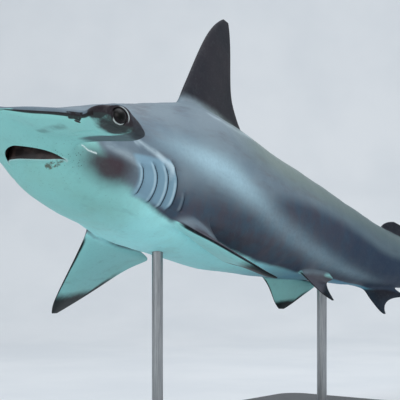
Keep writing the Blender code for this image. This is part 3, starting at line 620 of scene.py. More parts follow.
def shark_cage():
    """The whole shark as one cage."""
    cage = Cage()
    rings = [cage.add(ring(s)) for s in RINGS]
    right = COLUMN_COUNT - SIDE_COLUMN
    fins = (
        (PECTORAL_SPAN, SIDE_COLUMN, PECTORAL, PECTORAL_LEFT),
        (PECTORAL_SPAN, right, PECTORAL, PECTORAL_RIGHT),
        (PELVIC_SPAN, PELVIC_COLUMN, PELVIC, PELVIC_LEFT),
        (PELVIC_SPAN, COLUMN_COUNT - PELVIC_COLUMN, PELVIC, PELVIC_RIGHT),
        (FIRST_DORSAL_SPAN, TOP_COLUMN, FIRST_DORSAL, None),
        (SECOND_DORSAL_SPAN, TOP_COLUMN, SECOND_DORSAL, None),
        (ANAL_SPAN, BOTTOM_COLUMN, ANAL, None),
        (LOWER_LOBE_SPAN, BOTTOM_COLUMN, LOWER_LOBE, None),
    )
    hammer_end = RINGS.index(HAMMER_ROOT_END)
    strips = [((RINGS[0], HAMMER_ROOT_END), c) for c in (SIDE_COLUMN, right)] + [f[:2] for f in fins]
    skipped = set()
    for span, column in strips:
        for i in range(RINGS.index(span[0]), RINGS.index(span[1])):
            skipped |= {(i, (column - 1) % COLUMN_COUNT), (i, column)}
    for i, (a, b) in enumerate(zip(rings, rings[1:])):
        for k in range(COLUMN_COUNT):
            if (i, k) not in skipped:
                n = (k + 1) % COLUMN_COUNT
                cage.faces.append((a[k], a[n], b[n], b[k]))
    cage.close_blade([rings[0][(SIDE_COLUMN + k) % COLUMN_COUNT] for k in range(COLUMN_COUNT)])
    cage.close_blade(rings[-1])
    for side, column in ((1, SIDE_COLUMN), (-1, right)):
        loop = [rings[i][k] for i, k in bare_strip(0, hammer_end, column)]
        if side < 0:
            half = len(loop) // 2
            loop = [loop[0], *loop[:half:-1], loop[half], *loop[half - 1 : 0 : -1]]
        for row in HAMMER[1:]:
            section = cage.add(hammer_section(row, hammer_end + 1, side))
            cage.bridge(loop, section)
            loop = section
        cage.close_blade(loop)
    for span, column, rows, pose in fins:
        if pose:
            grow_fin(cage, rings, span, column, turned(rows, pose[2], span[0]), pose[:2], pose[3:])
        else:
            grow_fin(cage, rings, span, column, rows)
    return cage


# The fine skin


def new_object(name, mesh):
    """An object in the scene for a mesh."""
    made = bpy.data.objects.new(name, mesh)
    bpy.context.scene.collection.objects.link(made)
    return made


def finish(mesh, look):
    """A smooth object with one material from a mesh."""
    mesh.materials.append(look)
    mesh.shade_smooth()
    return new_object(mesh.name, mesh)


def closed_mesh(name, points, faces):
    """A closed mesh with its faces turned outwards."""
    mesh = bpy.data.meshes.new(name)
    mesh.from_pydata(points, [], faces)
    shaped = bmesh.new()
    shaped.from_mesh(mesh)
    bmesh.ops.recalc_face_normals(shaped, faces=shaped.faces)
    shaped.to_mesh(mesh)
    shaped.free()
    return mesh


def ball(name, meridians, parallels):
    """A mesh of a ball of radius 1."""
    mesh = bpy.data.meshes.new(name)
    shaped = bmesh.new()
    bmesh.ops.create_uvsphere(shaped, u_segments=meridians, v_segments=parallels, radius=1.0)
    shaped.to_mesh(mesh)
    shaped.free()
    return mesh


def apply_modifiers(made):
    """Replaces an object's mesh by what its modifiers make of it."""
    depsgraph = bpy.context.evaluated_depsgraph_get()
    shaped = bpy.data.meshes.new_from_object(made.evaluated_get(depsgraph))
    made.modifiers.clear()
    old = made.data
    made.data = shaped
    bpy.data.meshes.remove(old)
    return made


def smooth_cage(cage):
    """The cage smoothed, still in straight coordinates."""
    mesh = closed_mesh("skin", cage.points, cage.faces)
    write_vectors(mesh, "fin", cage.fin)
    made = new_object("skin", mesh)
    smoothing = made.modifiers.new("smooth", "SUBSURF")
    smoothing.levels = smoothing.render_levels = SMOOTHING
    return apply_modifiers(made)


def read_vectors(data, key):
    """A vector for each point, as an array."""
    flat = np.empty(len(data) * 3, np.float32)
    data.foreach_get(key, flat)
    return flat.reshape(-1, 3).astype(float)


def write_vectors(mesh, name, vectors):
    """Keeps a vector at every point."""
    layer = mesh.attributes.new(name, "FLOAT_VECTOR", "POINT")
    layer.data.foreach_set("vector", np.array(vectors, np.float32).ravel())


def write_mark(mesh, name, values):
    """Keeps a number at every point, for the material."""
    layer = mesh.attributes.new(name, "FLOAT", "POINT")
    layer.data.foreach_set("value", values.astype(np.float32))


def points_of(mesh):
    """A mesh's points as an array."""
    return read_vectors(mesh.vertices, "co")


def set_points(mesh, points):
    """Writes an array of points back to a mesh."""
    mesh.vertices.foreach_set("co", points.astype(np.float32).ravel())
    mesh.update()


def body_angle(points):
    """Angle round the body's section, above the level, the same on both sides."""
    station, left, up = points.T
    top, bottom, half = (read(BODY, station, c) for c in (1, 2, 3))
    level, height = (top + bottom) / 2, (top - bottom) / 2
    return np.degrees(np.arctan2((up - level) / height, np.abs(left) / half))


def detail_zones(points):
    """Where the relief is fine, and where it is finest: mouth, gills, eyes and nostrils."""
    station, left, up = points.T
    out = np.abs(left)
    angle = body_angle(points)
    gills = between(0.148, station, 0.234) & between(-48, angle, 10) & (out > 0.02)
    mouth = between(0.038, station, 0.092) & (out < 0.044) & (up < -0.010)
    eye, _ = eye_axis(1)
    eyes = near(points, *eye, 0.022) > 0
    notch = near(points, 0.0370, 0.0940, -0.013, 0.014) > 0
    hammer = (out > 0.078) & (station < 0.084)
    cheek = between(0.080, station, 0.148) & between(-40, angle, 20)
    scratch = between(0.084, station, 0.108) & between(-20, angle, -8) & (left > 0)
    finest = gills | mouth | eyes | notch | scratch
    return finest | hammer | cheek, finest


def refine(made):
    """Splits the faces of the detail zones once more, and of the finest ones twice."""
    for level in (0, 1):
        inside = detail_zones(points_of(made.data))[level]
        shaped = bmesh.new()
        shaped.from_mesh(made.data)
        edges = [e for e in shaped.edges if inside[e.verts[0].index] and inside[e.verts[1].index]]
        bmesh.ops.subdivide_edges(shaped, edges=edges, cuts=1, use_grid_fill=True)
        shaped.to_mesh(made.data)
        shaped.free()
    return made


def gill_distance(points):
    """For each slit, how far behind it each point lies in metres, and how deep the slit is there."""
    station = points[:, 0]
    angle = body_angle(points)
    bend = read(GILL_BEND, angle)
    for line, *fades in GILL_SLITS:
        yield (station - line - bend) * TOTAL_LENGTH, window(*fades, angle)


def gill_relief(points):
    """Flaps that swell towards each slit and overlap the hollow behind it."""
    relief = np.zeros(len(points))
    for behind, share in gill_distance(points):
        flap = np.where(behind < 0, np.clip(1 + behind / FLAP_LENGTH, 0, 1) ** FLAP_POWER, 0)
        slit = np.where(behind >= 0, step(-0.0002, SLIT_EDGE, behind) * np.exp(-behind / SLIT_LENGTH), 0)
        relief += share * (FLAP_RISE * flap - SLIT_DEPTH * slit)
    return relief


def line_distance(spots, line):
    """How far each spot lies from a line through a few points."""
    best = np.full(len(spots), np.inf)
    for a, b in zip(np.array(line, float), np.array(line[1:], float)):
        along = np.clip((spots - a) @ (b - a) / ((b - a) @ (b - a)), 0, 1)
        best = np.minimum(best, np.linalg.norm(spots - a - along[:, None] * (b - a), axis=1))
    return best


def near_line(spots, line, core, edge):
    """1 within a core distance of a line, fading to 0 at an outer one."""
    return 1 - step(core, edge, line_distance(spots, line))


def jaw_distance(points, *jaws):
    """How far each point of the underside lies from the edges of the jaws, in metres."""
    station, left, up = points.T
    close = between(0.030, station, 0.096) & (np.abs(left) < 0.052) & (up < -0.008)
    far = np.full(len(points), 1.0)
    spots = points[close][:, :2]
    far[close] = np.min([line_distance(spots, jaw_line(*jaw)) for jaw in jaws], axis=0)
    return far * TOTAL_LENGTH


def lip_relief(points):
    """Rounded lips along both jaws, with a fold behind the lower one."""
    far = jaw_distance(points, UPPER_JAW, LOWER_JAW)
    line = jaw_line(*LOWER_JAW)
    lower = step(-0.004, 0.0, points[:, 0] - np.interp(points[:, 1], line[:, 1], line[:, 0]))
    lower_lip = hump(far, *LOWER_LIP) + hump(far, *CHIN_FOLD)
    return hump(far, *UPPER_LIP) * (1 - lower) + lower_lip * lower


def soft_noise(points, scale, seed):
    """Smooth noise at each point, about -0.5 to 0.5."""
    offset = Vector((seed, 3.7 * seed, 1.3 * seed))
    scaled = points * scale
    return np.array([noise.noise(Vector(p) + offset) for p in scaled])


def near(points, station, left, up, radius):
    """1 at a place on both sides of the head, 0 beyond a radius."""
    off = np.stack((points[:, 0] - station, np.abs(points[:, 1]) - left, points[:, 2] - up), 1)
    return np.clip(1 - np.linalg.norm(off, axis=1) / radius, 0, 1)


def under_grooves(points, normals):
    """Shallow folds along the hammer's rear margin, seen from below, and behind the mouth's corner."""
    station, left, _ = points.T
    out = np.abs(left)
    below = step(0.1, 0.6, -normals[:, 2])
    behind = station - read(REAR_FOLD, out)
    rear = sum(hump(behind, *fold) * window(*fades, out) for *fold, fades in REAR_FOLDS)
    slanted = station - CORNER_FOLD_SLANT * (out - 0.034)
    return below * rear + hump(slanted, *CORNER_FOLD) * window(*CORNER_FOLD_SPAN, out)


def eye_axis(side):
    """An eye's centre and the way it faces, in straight coordinates."""
    centre = np.array((EYE_STATION, side * EYE_OUT, hammer_up(EYE_STATION, side * EYE_OUT) + EYE_RISE))
    ahead = np.array((-0.008, side * 0.05, -EYE_RISE))
    return centre, ahead / np.linalg.norm(ahead)


def about_eye(points, side):
    """Each point's offset from an eye's centre, and its distances along and across the eye's axis."""
    centre, ahead = eye_axis(side)
    off = points - centre
    along = off @ ahead
    return off, along, np.linalg.norm(off - along[:, None] * ahead, axis=1)


def sink_eye(points, side):
    """Opens the skin over the eyeball and raises the lid round it."""
    _, along, across = about_eye(points, side)
    outer = (along > 0) & (across < EYE_OPENING + LID_WIDTH)
    ball_front = np.sqrt(np.clip(EYE_RADIUS**2 - across**2, 0, None))
    rim = math.sqrt(EYE_RADIUS**2 - EYE_OPENING**2) + LID_HEIGHT
    weight = 1 - step(EYE_OPENING + 0.0012, EYE_OPENING + LID_WIDTH, across)
    lid = along + (rim - along) * weight
    wanted = np.where(across < EYE_OPENING, ball_front - SUNK_BELOW_EYE, lid)
    moved = np.where(outer, wanted - along, 0)
    return points + moved[:, None] * eye_axis(side)[1]


def add_relief(made):
    """Fine relief of the skin, in straight coordinates; keeps the smooth shape as attributes."""
    mesh = made.data
    points, normals = points_of(mesh), read_vectors(mesh.vertex_normals, "vector")
    fin = read_vectors(mesh.attributes["fin"].data, "vector")
    write_vectors(mesh, "rest", points * TOTAL_LENGTH)
    paint_marks(mesh, points, normals, fin)
    body = 1 - step(0.0, 0.25, fin[:, 0])
    trunk = step(0.10, 0.16, points[:, 0]) * body
    out = gill_relief(points) * body + lip_relief(points) + under_grooves(points, normals)
    out += trunk * sum(height * soft_noise(points, *grain) for height, *grain in TRUNK_NOISE)
    points = points + normals * (out / TOTAL_LENGTH)[:, None]
    for side in (1, -1):
        points = sink_eye(points, side)
    set_points(mesh, points)


def paint_marks(mesh, points, normals, fin):
    """Soft masks for the markings and for painted shade and highlights, which the material breaks up and
    colours.
    """
    on_fin = step(0.02, 0.12, fin[:, 0])
    marks = {
        **body_marks(points, normals, on_fin * fin[:, 2]),
        **hammer_marks(points, normals),
        **throat_marks(points, normals),
        **gill_marks(points),
        **fin_marks(points, normals, fin, on_fin),
    }
    for name, values in marks.items():
        write_mark(mesh, name, values)


def outer_side(points, normals):
    """1 where the skin faces up or out, 0 where it faces down or in."""
    return step(-0.25, 0.25, normals[:, 1] * np.sign(points[:, 1]) + normals[:, 2])


def body_marks(points, normals, on_fin):
    """Grey back over pale belly, painted shade on the lower flank and the sheen above it."""
    station, left, _ = points.T
    angle = body_angle(points)
    head = (1 - step(0.080, 0.088, station)) * step(0.040, 0.050, np.abs(left))
    soft = read(((0.09, 14.0), (0.12, 24.0), (0.16, 14.0), (0.24, 7.0), (0.60, 8.0)), station)
    body_back = step(-1, 1, (angle - read(SHADE_EDGE, station)) / soft)
    head_back = step(-0.40, -0.02, normals[:, 2])
    snout_top = step(0.1, 0.4, normals[:, 2]) * (1 - step(0.09, 0.12, station))
    back = np.maximum(body_back * (1 - head) + head_back * head, snout_top)
    # Painted shade on the lower flank, below the edge of the lighter upper flank
    spread = read(((0.12, 14.0), (0.34, 16.0), (0.42, 9.0), (0.80, 9.0)), station)
    lower_flank_shade = 1 - step(-1, 1, (angle - read(LOWER_FLANK_SHADE_EDGE, station)) / spread)
    bare = 1 - on_fin
    return {
        "back": back * bare + outer_side(points, normals) * on_fin,
        "lower_flank_shade": lower_flank_shade * step(0.14, 0.20, station) * bare,
        "sheen": hump(angle, 1, read(SHEEN_LINE, station), 11) * read(SHEEN_LINE, station, 2) * bare,
        "rear": step(0.36, 0.66, station),
        "ridge": step(8, 36, angle) * step(0.28, 0.38, station) * bare,
        # Painted light: the belly paler behind the head, where the pectoral fins shade it
        "belly_painted_light": step(0.10, 0.25, station) * (1 - 0.5 * on_fin),
        # Painted shade: the belly bluer and darker towards the pelvic fins
        "rear_belly_shade": step(0.34, 0.48, station) * bare,
    }


def hammer_marks(points, normals):
    """The hammer's dark front line, notch, eye patch, rear band and end, and a painted highlight on the
    upper rear of the lid's rim.
    """
    station, left, up = points.T
    out = np.abs(left)
    mirrored = np.stack((station, out, up), 1)
    facing_up = normals[:, 2]
    hammer = 1 - step(0.084, 0.094, station)
    front = 1 - step(0.010, 0.020, station - front_edge(left))
    line = window(-0.46, -0.30, -0.12, 0.06, facing_up) * step(0.015, 0.040, out) * (out < 0.116)
    notch_edge = np.interp(out, *np.array(NOTCH).T[::-1])
    filled = window(0.0865, 0.0890, 0.1050, 0.1090, out) * (1 - step(-0.0010, 0.0, station - notch_edge))
    outline = near_line(mirrored[:, :2], NOTCH, 0.0002, 0.0014) * window(0.087, 0.09, 0.102, 0.11, out)
    notch = np.maximum(0.75 * filled, outline) * (facing_up < 0.25) * (station < 0.046)

    patch = np.clip(1 - line_distance(mirrored, PATCH) / 0.0125, 0, 1)
    patch = np.maximum(near(points, *eye_axis(1)[0], 0.030), patch)
    off, along, across = about_eye(mirrored, 1)
    # Painted highlight on the lid's rim, on its upper rear side only
    upper_rear = step(0.3, 0.9, (0.60 * off[:, 2] + 0.80 * off[:, 0]) / EYE_OPENING)
    rim = window(0.0002, 0.0007, 0.0009, 0.0016, across - EYE_OPENING)
    band = step(0.0600, 0.0665, station) * step(0.050, 0.085, out) * (1 - step(0.2, 0.6, facing_up))
    end = step(0.056, 0.074, station) * step(0.112, 0.128, out + 0.2 * (station - 0.06))
    return {
        "margin": np.maximum(front * line * hammer, notch),
        "eye_patch": patch * (facing_up < 0.75),
        "lid": rim * upper_rear * (along > 0),
        "rear_band": band * hammer,
        "hammer_end": end * hammer,
    }


def on_skin(points):
    """Station and distance round the body, for lines drawn on the side of the head."""
    return np.stack((points[:, 0], body_angle(points) * DEGREE_ARC), 1)


def skin_line(line):
    """A line given by station and angle, in the same terms."""
    return [(station, angle * DEGREE_ARC) for station, angle in line]


def region(points, by_station, by_angle, bend=0.0):
    """A soft patch on the side of the body."""
    return window(*by_station, points[:, 0] - bend) * window(*by_angle, body_angle(points))


def throat_marks(points, normals):
    """The cheek, the rim of the lower lip, pores, and small marks under and beside the head."""
    station, left, _ = points.T
    under = (normals[:, 2] < -0.1) & (station < 0.10)
    pores = window(0.030, 0.050, 0.085, 0.110, station) * (1 - step(0.060, 0.095, np.abs(left)))
    by_corner = step(0.2, 0.6, near(points, 0.0800, 0.0400, -0.0250, 0.024))
    return {
        "cheek": region(points, *CHEEK),
        "smudge": near_line(points[:, :2], SMUDGE, 0.0005, 0.0060) * under,
        "scuff": near_line(points[:, :2], SCUFF, 0.0005, 0.0038) * under,
        "scratch": near_line(on_skin(points), skin_line(SCRATCH), 0.0002, 0.0013) * (left > 0),
        "pores": np.clip(0.35 * pores * (normals[:, 2] < 0.1) + by_corner, 0, 1),
        "lip": 1 - step(0.0010, 0.0034, jaw_distance(points, LOWER_JAW)),
    }


def gill_marks(points):
    """Pale flaps with a painted highlight at their lip, painted shade along the slits, and painted
    highlights on the folds ahead of them.
    """
    slit, lip = np.zeros((2, len(points)))
    for number, (behind, share) in enumerate(gill_distance(points)):
        # Painted shade along each slit, under the flap's edge
        slit = np.maximum(slit, share * window(-0.0044, -0.0024, 0.0026, 0.0050, behind))
        # Painted highlight along each flap's lip, weaker on the last flap
        strength = share * (1.0 if number < 4 else 0.3)
        lip = np.maximum(lip, strength * window(-0.0130, -0.0080, -0.0065, -0.0040, behind))
    gleams = [
        strength * near_line(on_skin(points), skin_line(line), core, edge)
        for line, (core, edge, strength) in zip(GLEAMS, GLEAM_WIDTHS)
    ]
    flaps = region(points, *FLAPS, read(GILL_BEND, body_angle(points)))
    return {"slit": slit, "flap_highlight": lip, "flap": flaps, "gleam": np.max(gleams, axis=0)}


def fin_marks(points, normals, fin, on_fin):
    """Dark upright fins, and paired fins with dark tips and margins and pale undersides."""
    station, left, _ = points.T
    fin_out, fin_back, paired = fin.T
    paired = paired > 0.5
    left_pelvic = (station > 0.44) & (left > 0)
    upper = np.where(left_pelvic, 1.0, outer_side(points, normals))
    tip = step(0.62, 0.96, fin_out + 0.12 * fin_back)
    trailing = step(0.76, 0.97, fin_back) * step(0.20, 0.70, fin_out)
    leading = (1 - step(0.015, 0.060, fin_back)) * step(0.03, 0.2, fin_out)
    return {
        "fin_upper": step(0.05, 0.35, fin_out) * upper * paired,
        "fin_edge": on_fin * np.max((tip, trailing, 0.9 * leading), axis=0) * paired,
        "fin_dark": step(-0.02, 0.20, fin_out) * ~paired,
        "tail": step(0.72, 0.78, station) * ~paired,
    }


# Mouth and nostrils


def cut(made, tool):
    """Takes a closed tool out of an object. The tool's material lines the cut."""
    boolean = made.modifiers.new("cut", "BOOLEAN")
    boolean.operation = "DIFFERENCE"
    boolean.solver = "MANIFOLD"
    boolean.material_mode = "TRANSFER"
    boolean.object = tool
    apply_modifiers(made)
    bpy.data.objects.remove(tool)


def jaw_line(reach, roundness, steps=48):
    """Places along a jaw's edge, from the right corner to the left, as (station, left)."""
    turn = np.pi * (np.arange(steps + 1) / steps - 0.5)
    across = np.sign(turn) * np.abs(np.sin(turn)) ** (2 / roundness) * MOUTH_HALF_WIDTH
    forward = reach * np.clip(np.cos(turn), 0, 1) ** (2 / roundness)
    return np.stack((MOUTH_CORNER + MOUTH_SLANT * across - forward, MOUTH_MIDDLE + across), 1)


def mouth_tool(look):
    """The space between the jaws: upright at the lips and drawn in towards its roof."""
    upper, lower = jaw_line(*UPPER_JAW), jaw_line(*LOWER_JAW)[1:-1]
    lower[:, 0] = np.maximum(lower[:, 0], np.interp(lower[:, 1], upper[:, 1], upper[:, 0]) + 0.0002)
    loop = np.vstack((upper, lower[::-1]))
    centre = np.array((MOUTH_CORNER - MOUTH_CENTRE_AHEAD, MOUTH_MIDDLE))
    tool = Cage()
    layers = [
        tool.add([(*(centre + (spot - centre) * share), height) for spot in loop])
        for height, share in MOUTH_LAYERS
    ]
    for a, b in zip(layers, layers[1:]):
        tool.bridge(a, b)
    tool.faces += [layers[0][::-1], layers[-1]]
    return finish(closed_mesh("mouth_tool", tool.points, tool.faces), look)


def nostril_tool(side, look):
    """A slot in the underside at the notch of the front edge."""
    station, out, *size = NOSTRIL
    left = side * out
    place_at = Matrix.Translation((station, left, hammer_up(station, left) - NOSTRIL_BELOW))
    turn = Matrix.Rotation(side * NOSTRIL_TURN, 4, "Z")
    mesh = ball("nostril_tool", 32, 16)
    mesh.transform(place_at @ turn @ Matrix.Diagonal((*size, 1.0)))
    return finish(mesh, look)


# Materials


class Value:
    """A socket, or a number, that plain Python arithmetic works on."""

    def __init__(self, look, socket):
        self.look = look
        self.socket = socket

    def _math(self, operation, a, b=None, clamp=False):
        inputs = {0: a} if b is None else {0: a, 1: b}
        return self.look.node("ShaderNodeMath", {"operation": operation, "use_clamp": clamp}, inputs)

    def __add__(self, other):
        return self._math("ADD", self, other)

    def __radd__(self, other):
        return self._math("ADD", other, self)

    def __sub__(self, other):
        return self._math("SUBTRACT", self, other)

    def __rsub__(self, other):
        return self._math("SUBTRACT", other, self)

    def __mul__(self, other):
        return self._math("MULTIPLY", self, other)

    def __rmul__(self, other):
        return self._math("MULTIPLY", other, self)

    def clamp(self):
        """Held between 0 and 1."""
        return self._math("ADD", self, 0.0, clamp=True)

    def step(self, low, high):
        """Smooth step from 0 at low to 1 at high."""
        settings = {"interpolation_type": "SMOOTHSTEP"}
        sockets = {"Value": self, "From Min": low, "From Max": high}
        return self.look.node("ShaderNodeMapRange", settings, sockets)


class Look:
    """A material and the nodes of its shader."""

    def __init__(self, name):
        self.material = bpy.data.materials.new(name)
        self.material.use_nodes = True
        self.tree = self.material.node_tree
        self.shader = self.tree.nodes["Principled BSDF"]

    def node(self, kind, settings=None, inputs=None, output=0):
        """A node with its settings made first, then its sockets; returns one output."""
        made = self.tree.nodes.new(kind)
        for key, value in (settings or {}).items():
            setattr(made, key, value)
        for key, value in (inputs or {}).items():
            if isinstance(value, Value):
                self.tree.links.new(value.socket, made.inputs[key])
            else:
                made.inputs[key].default_value = value
        return Value(self, made.outputs[output])

    def mark(self, name, output="Fac"):
        """A number or vector kept at the mesh's points."""
        return self.node("ShaderNodeAttribute", {"attribute_name": name}, output=output)

    def grain(self, where, scale, detail=3.0, roughness=0.55, stretch=None):
        """Noise from about 0 to 1."""
        if stretch:
            where = self.node("ShaderNodeVectorMath", {"operation": "MULTIPLY"}, {0: where, 1: stretch})
        sockets = {"Vector": where, "Scale": scale, "Detail": detail, "Roughness": roughness}
        return self.node("ShaderNodeTexNoise", {}, sockets)

    def mix(self, a, b, share):
        """Colour a turning to colour b."""
        return self.node("ShaderNodeMix", {"data_type": "RGBA"}, {0: share, 6: a, 7: b}, output=2)

    def layers(self, colour, *coats):
        """A colour under coats, each a colour and its share."""
        for coat, share in coats:
            colour = self.mix(colour, coat, share)
        return colour

    def bump(self, height, distance, strength):
        """A normal from a height."""
        sockets = {"Height": height, "Distance": distance, "Strength": strength}
        return self.node("ShaderNodeBump", {}, sockets)

    def own_place(self):
        """The object's own coordinates."""
        return self.node("ShaderNodeTexCoord", output="Object")

    def set(self, **sockets):
        """Sets or links the shader's own sockets."""
        for name, value in sockets.items():
            socket = self.shader.inputs[name.replace("_", " ")]
            if isinstance(value, Value):
                self.tree.links.new(value.socket, socket)
            else:
                socket.default_value = value
        return self.material


def paint(red, green, blue):
    """A colour from its 0 to 255 values on screen."""
    linear = [(c / 255) ** 2.2 for c in (red, green, blue)]
    return (*linear, 1.0)


def skin_look():
    """Fine rough skin: grey back, sea-green belly, a flank with painted shade below and a sheen above,
    dark fins and old marks.
    """
    look = Look("shark_skin")
    mark, mix, layers = look.mark, look.mix, look.layers
    where = mark("rest", "Vector")
    broad = look.grain(where, 5.0, 4.0)
    middling = look.grain(where, 22.0, 5.0, 0.6)
    fine = look.grain(where, 120.0, 4.0, 0.65)
    streaks = look.grain(where, 30.0, 4.0, 0.6, stretch=(0.25, 1.0, 1.0))
    specks = look.grain(where, 260.0, 1.0).step(0.72, 0.78)
    holes = look.node("ShaderNodeTexVoronoi", {}, {"Vector": where, "Scale": 150.0})
    holes = (1.0 - holes.step(0.10, 0.18)) * mark("pores")
    rough_edge = (middling - 0.5) * 0.35 + (fine - 0.5) * 0.15

    def masked(name, weight=1.0):
        """A mask with its edge broken up, and nothing where the mask is empty."""
        mask = mark(name)
        return ((mask + rough_edge * mask.step(0.0, 0.25)).step(0.15, 0.85) * weight).clamp()

    belly = layers(
        # Belly paler behind the head: painted light where the pectoral fins shade it
        mix(paint(140, 204, 200), paint(176, 250, 252), mark("belly_painted_light")),
        # Painted blue shade on the belly towards the pelvic fins
        (paint(84, 146, 178), mark("rear_belly_shade")),
        (paint(132, 172, 156), broad.step(0.45, 0.75) * 0.35),
        (paint(104, 146, 142), (middling.step(0.55, 0.8) + streaks.step(0.6, 0.8)) * 0.25),
    )
    upper = layers(
        mix(paint(100, 117, 130), paint(116, 131, 141), broad.step(0.35, 0.65)),
        (paint(88, 84, 92), streaks.step(0.45, 0.8) * 0.6),
        (paint(112, 126, 122), mark("ridge") * 0.9),
        (paint(66, 84, 92), mark("rear") * 0.7),
    )
    # Painted shade of the lower flank, darker towards the tail
    lower_flank_shade = layers(
        mix(paint(66, 66, 78), paint(60, 78, 94), middling.step(0.35, 0.7)),
        (paint(38, 54, 74), mark("rear")),
    )
    sheen = mark("sheen") * (0.55 + streaks * 0.5 + (fine - 0.5) * 0.6)
    body = layers(
        upper,
        (lower_flank_shade, (mark("lower_flank_shade") + rough_edge * 0.6).clamp()),
        (paint(168, 202, 216), sheen.clamp()),
    )
    split = (mark("back") + rough_edge * 0.8).step(0.2, 0.8)
    cheek = (mark("cheek") * (0.8 + streaks * 0.5 + (middling - 0.5) * 0.8)).clamp()
    patch = (mark("eye_patch") + (middling - 0.5) * 0.5 + (fine - 0.5) * 0.1).step(0.34, 0.60)
    blade = layers(
        mix(paint(46, 40, 46), paint(28, 27, 36), broad.step(0.3, 0.7)),
        (paint(14, 20, 34), mark("rear") * 0.7),
    )
    colour = layers(
        mix(belly, body, split),
        (paint(70, 76, 82), (cheek * 1.15).clamp() * 0.85),
        (paint(66, 48, 54), cheek * cheek * 0.8),
        (paint(128, 164, 184), masked("flap", 0.8)),
        # Painted highlight on the lips of the gill flaps
        (paint(190, 216, 226), mark("flap_highlight") * (streaks.step(0.3, 0.6) * 0.4 + 0.1)),
        # Painted highlights on the folds by the gills and under the dorsal fin
        (paint(206, 228, 238), mark("gleam") * (streaks.step(0.3, 0.65) * 0.6 + 0.05)),
        # Painted shade along the gill slits
        (paint(30, 42, 54), mark("slit") * 0.92),
        (paint(78, 88, 96), masked("rear_band", 0.9)),
        (paint(48, 50, 56), masked("hammer_end", 0.9)),
        (paint(40, 30, 34), patch * 0.95),
        (paint(34, 26, 28), masked("margin", 0.95)),
        (paint(88, 122, 120), mark("smudge") * middling.step(0.3, 0.6) * 0.55),
        (paint(84, 70, 48), mark("scuff").step(0.1, 0.6) * fine.step(0.42, 0.58) * 0.8),
        (paint(190, 214, 214), mark("lip") * 0.6),
        # Painted highlight on the upper rear of the eye's lid
        (paint(214, 226, 228), mark("lid") * 0.65),
        (paint(222, 236, 236), mark("scratch") * 0.9),
        (paint(46, 66, 66), holes * 0.8),
        (mix(paint(84, 84, 92), paint(66, 66, 76), middling), masked("fin_upper")),
        (paint(12, 14, 22), masked("fin_edge", 0.98)),
        (blade, masked("fin_dark", 0.95)),
        (paint(72, 76, 84), mark("tail") * 0.6),
        (paint(84, 88, 90), specks * 0.35),
        (paint(120, 130, 130), (fine - 0.5) * 0.3),
    )
    rough = 0.46 + (fine - 0.5) * 0.25 + (1.0 - split) * 0.06
    relief = fine * 0.5 + middling * 0.8 + streaks * 0.4 - holes * 1.5
    normal = look.bump(relief, 0.0016, 0.45)
    return look.set(Base_Color=colour, Roughness=rough, Normal=normal, Specular_IOR_Level=0.16)


def lining_look():
    """Moist lining of the mouth and nostrils, painted dark as the shade in their hollows."""
    look = Look("mouth_lining")
    where = look.own_place()
    folds = look.grain(where, 45.0, 4.0)
    # Painted shade: near black in the hollows, browner on the folds
    colour = look.mix(paint(34, 26, 26), paint(74, 58, 54), folds.step(0.4, 0.75))
    return look.set(Base_Color=colour, Roughness=0.35 + folds * 0.2, Normal=look.bump(folds, 0.003, 0.6))


def eye_look():
    """Nearly black eye with a thin pale crescent low in the lids and a faint wet gloss."""
    look = Look("shark_eye")
    ring_share = look.mark("ring")
    grain = look.grain(look.own_place(), 90.0, 4.0)
    iris = look.mix(paint(10, 9, 12), paint(22, 18, 22), grain.step(0.4, 0.7))
    colour = look.mix(paint(3, 3, 4), iris, ring_share.step(0.40, 0.52))
    colour = look.mix(colour, paint(206, 218, 218), look.mark("crescent"))
    return look.set(Base_Color=colour, Roughness=0.30 + grain * 0.10, Specular_IOR_Level=0.18)


def metal_look():
    """Brushed steel rods."""
    look = Look("brushed_steel")
    where = look.own_place()
    lines = look.grain(where, 60.0, 5.0, 0.7, stretch=(6.0, 6.0, 0.25))
    colour = look.mix(paint(140, 143, 146), paint(172, 174, 176), lines.step(0.3, 0.7))
    normal = look.bump(lines, 0.0004, 0.3)
    return look.set(Base_Color=colour, Metallic=1.0, Roughness=0.26 + lines * 0.2, Normal=normal)


def plate_look():
    """Satin painted base with a faint grain."""
    look = Look("painted_plate")
    where = look.own_place()
    cloud = look.grain(where, 9.0, 4.0)
    grain = look.grain(where, 40.0, 5.0, 0.6, stretch=(0.12, 1.0, 1.0))
    speck = look.grain(where, 500.0, 2.0)
    colour = look.mix(paint(58, 60, 63), paint(70, 72, 75), cloud.step(0.3, 0.7))
    colour = look.mix(colour, paint(84, 86, 88), grain.step(0.55, 0.8) * 0.35)
    normal = look.bump(grain * 0.6 + speck * 0.4, 0.0005, 0.35)
    return look.set(Base_Color=colour, Roughness=0.42 + cloud * 0.14, Normal=normal)


def floor_look():
    """Pale studio floor and backdrop, clear from behind so that it never hides the shark."""
    look = Look("studio_floor")
    where = look.own_place()
    cloud = look.grain(where, 2.0, 3.0)
    colour = look.mix(paint(222, 226, 230), paint(230, 233, 236), cloud.step(0.3, 0.7))
    from_behind = look.node("ShaderNodeNewGeometry", output="Backfacing")
    return look.set(Base_Color=colour, Roughness=0.7, Alpha=1.0 - from_behind)


# Pieces


def make_skin(look, lining):
    """The whole skin in its pose."""
    skin = refine(smooth_cage(shark_cage()))
    add_relief(skin)
    skin.data.materials.clear()
    skin.data.materials.append(look)
    skin.data.shade_smooth()
    for tool in (mouth_tool(lining), nostril_tool(1, lining), nostril_tool(-1, lining)):
        cut(skin, tool)
    set_points(skin.data, place(points_of(skin.data)))
    skin.data.shade_smooth()
    return skin


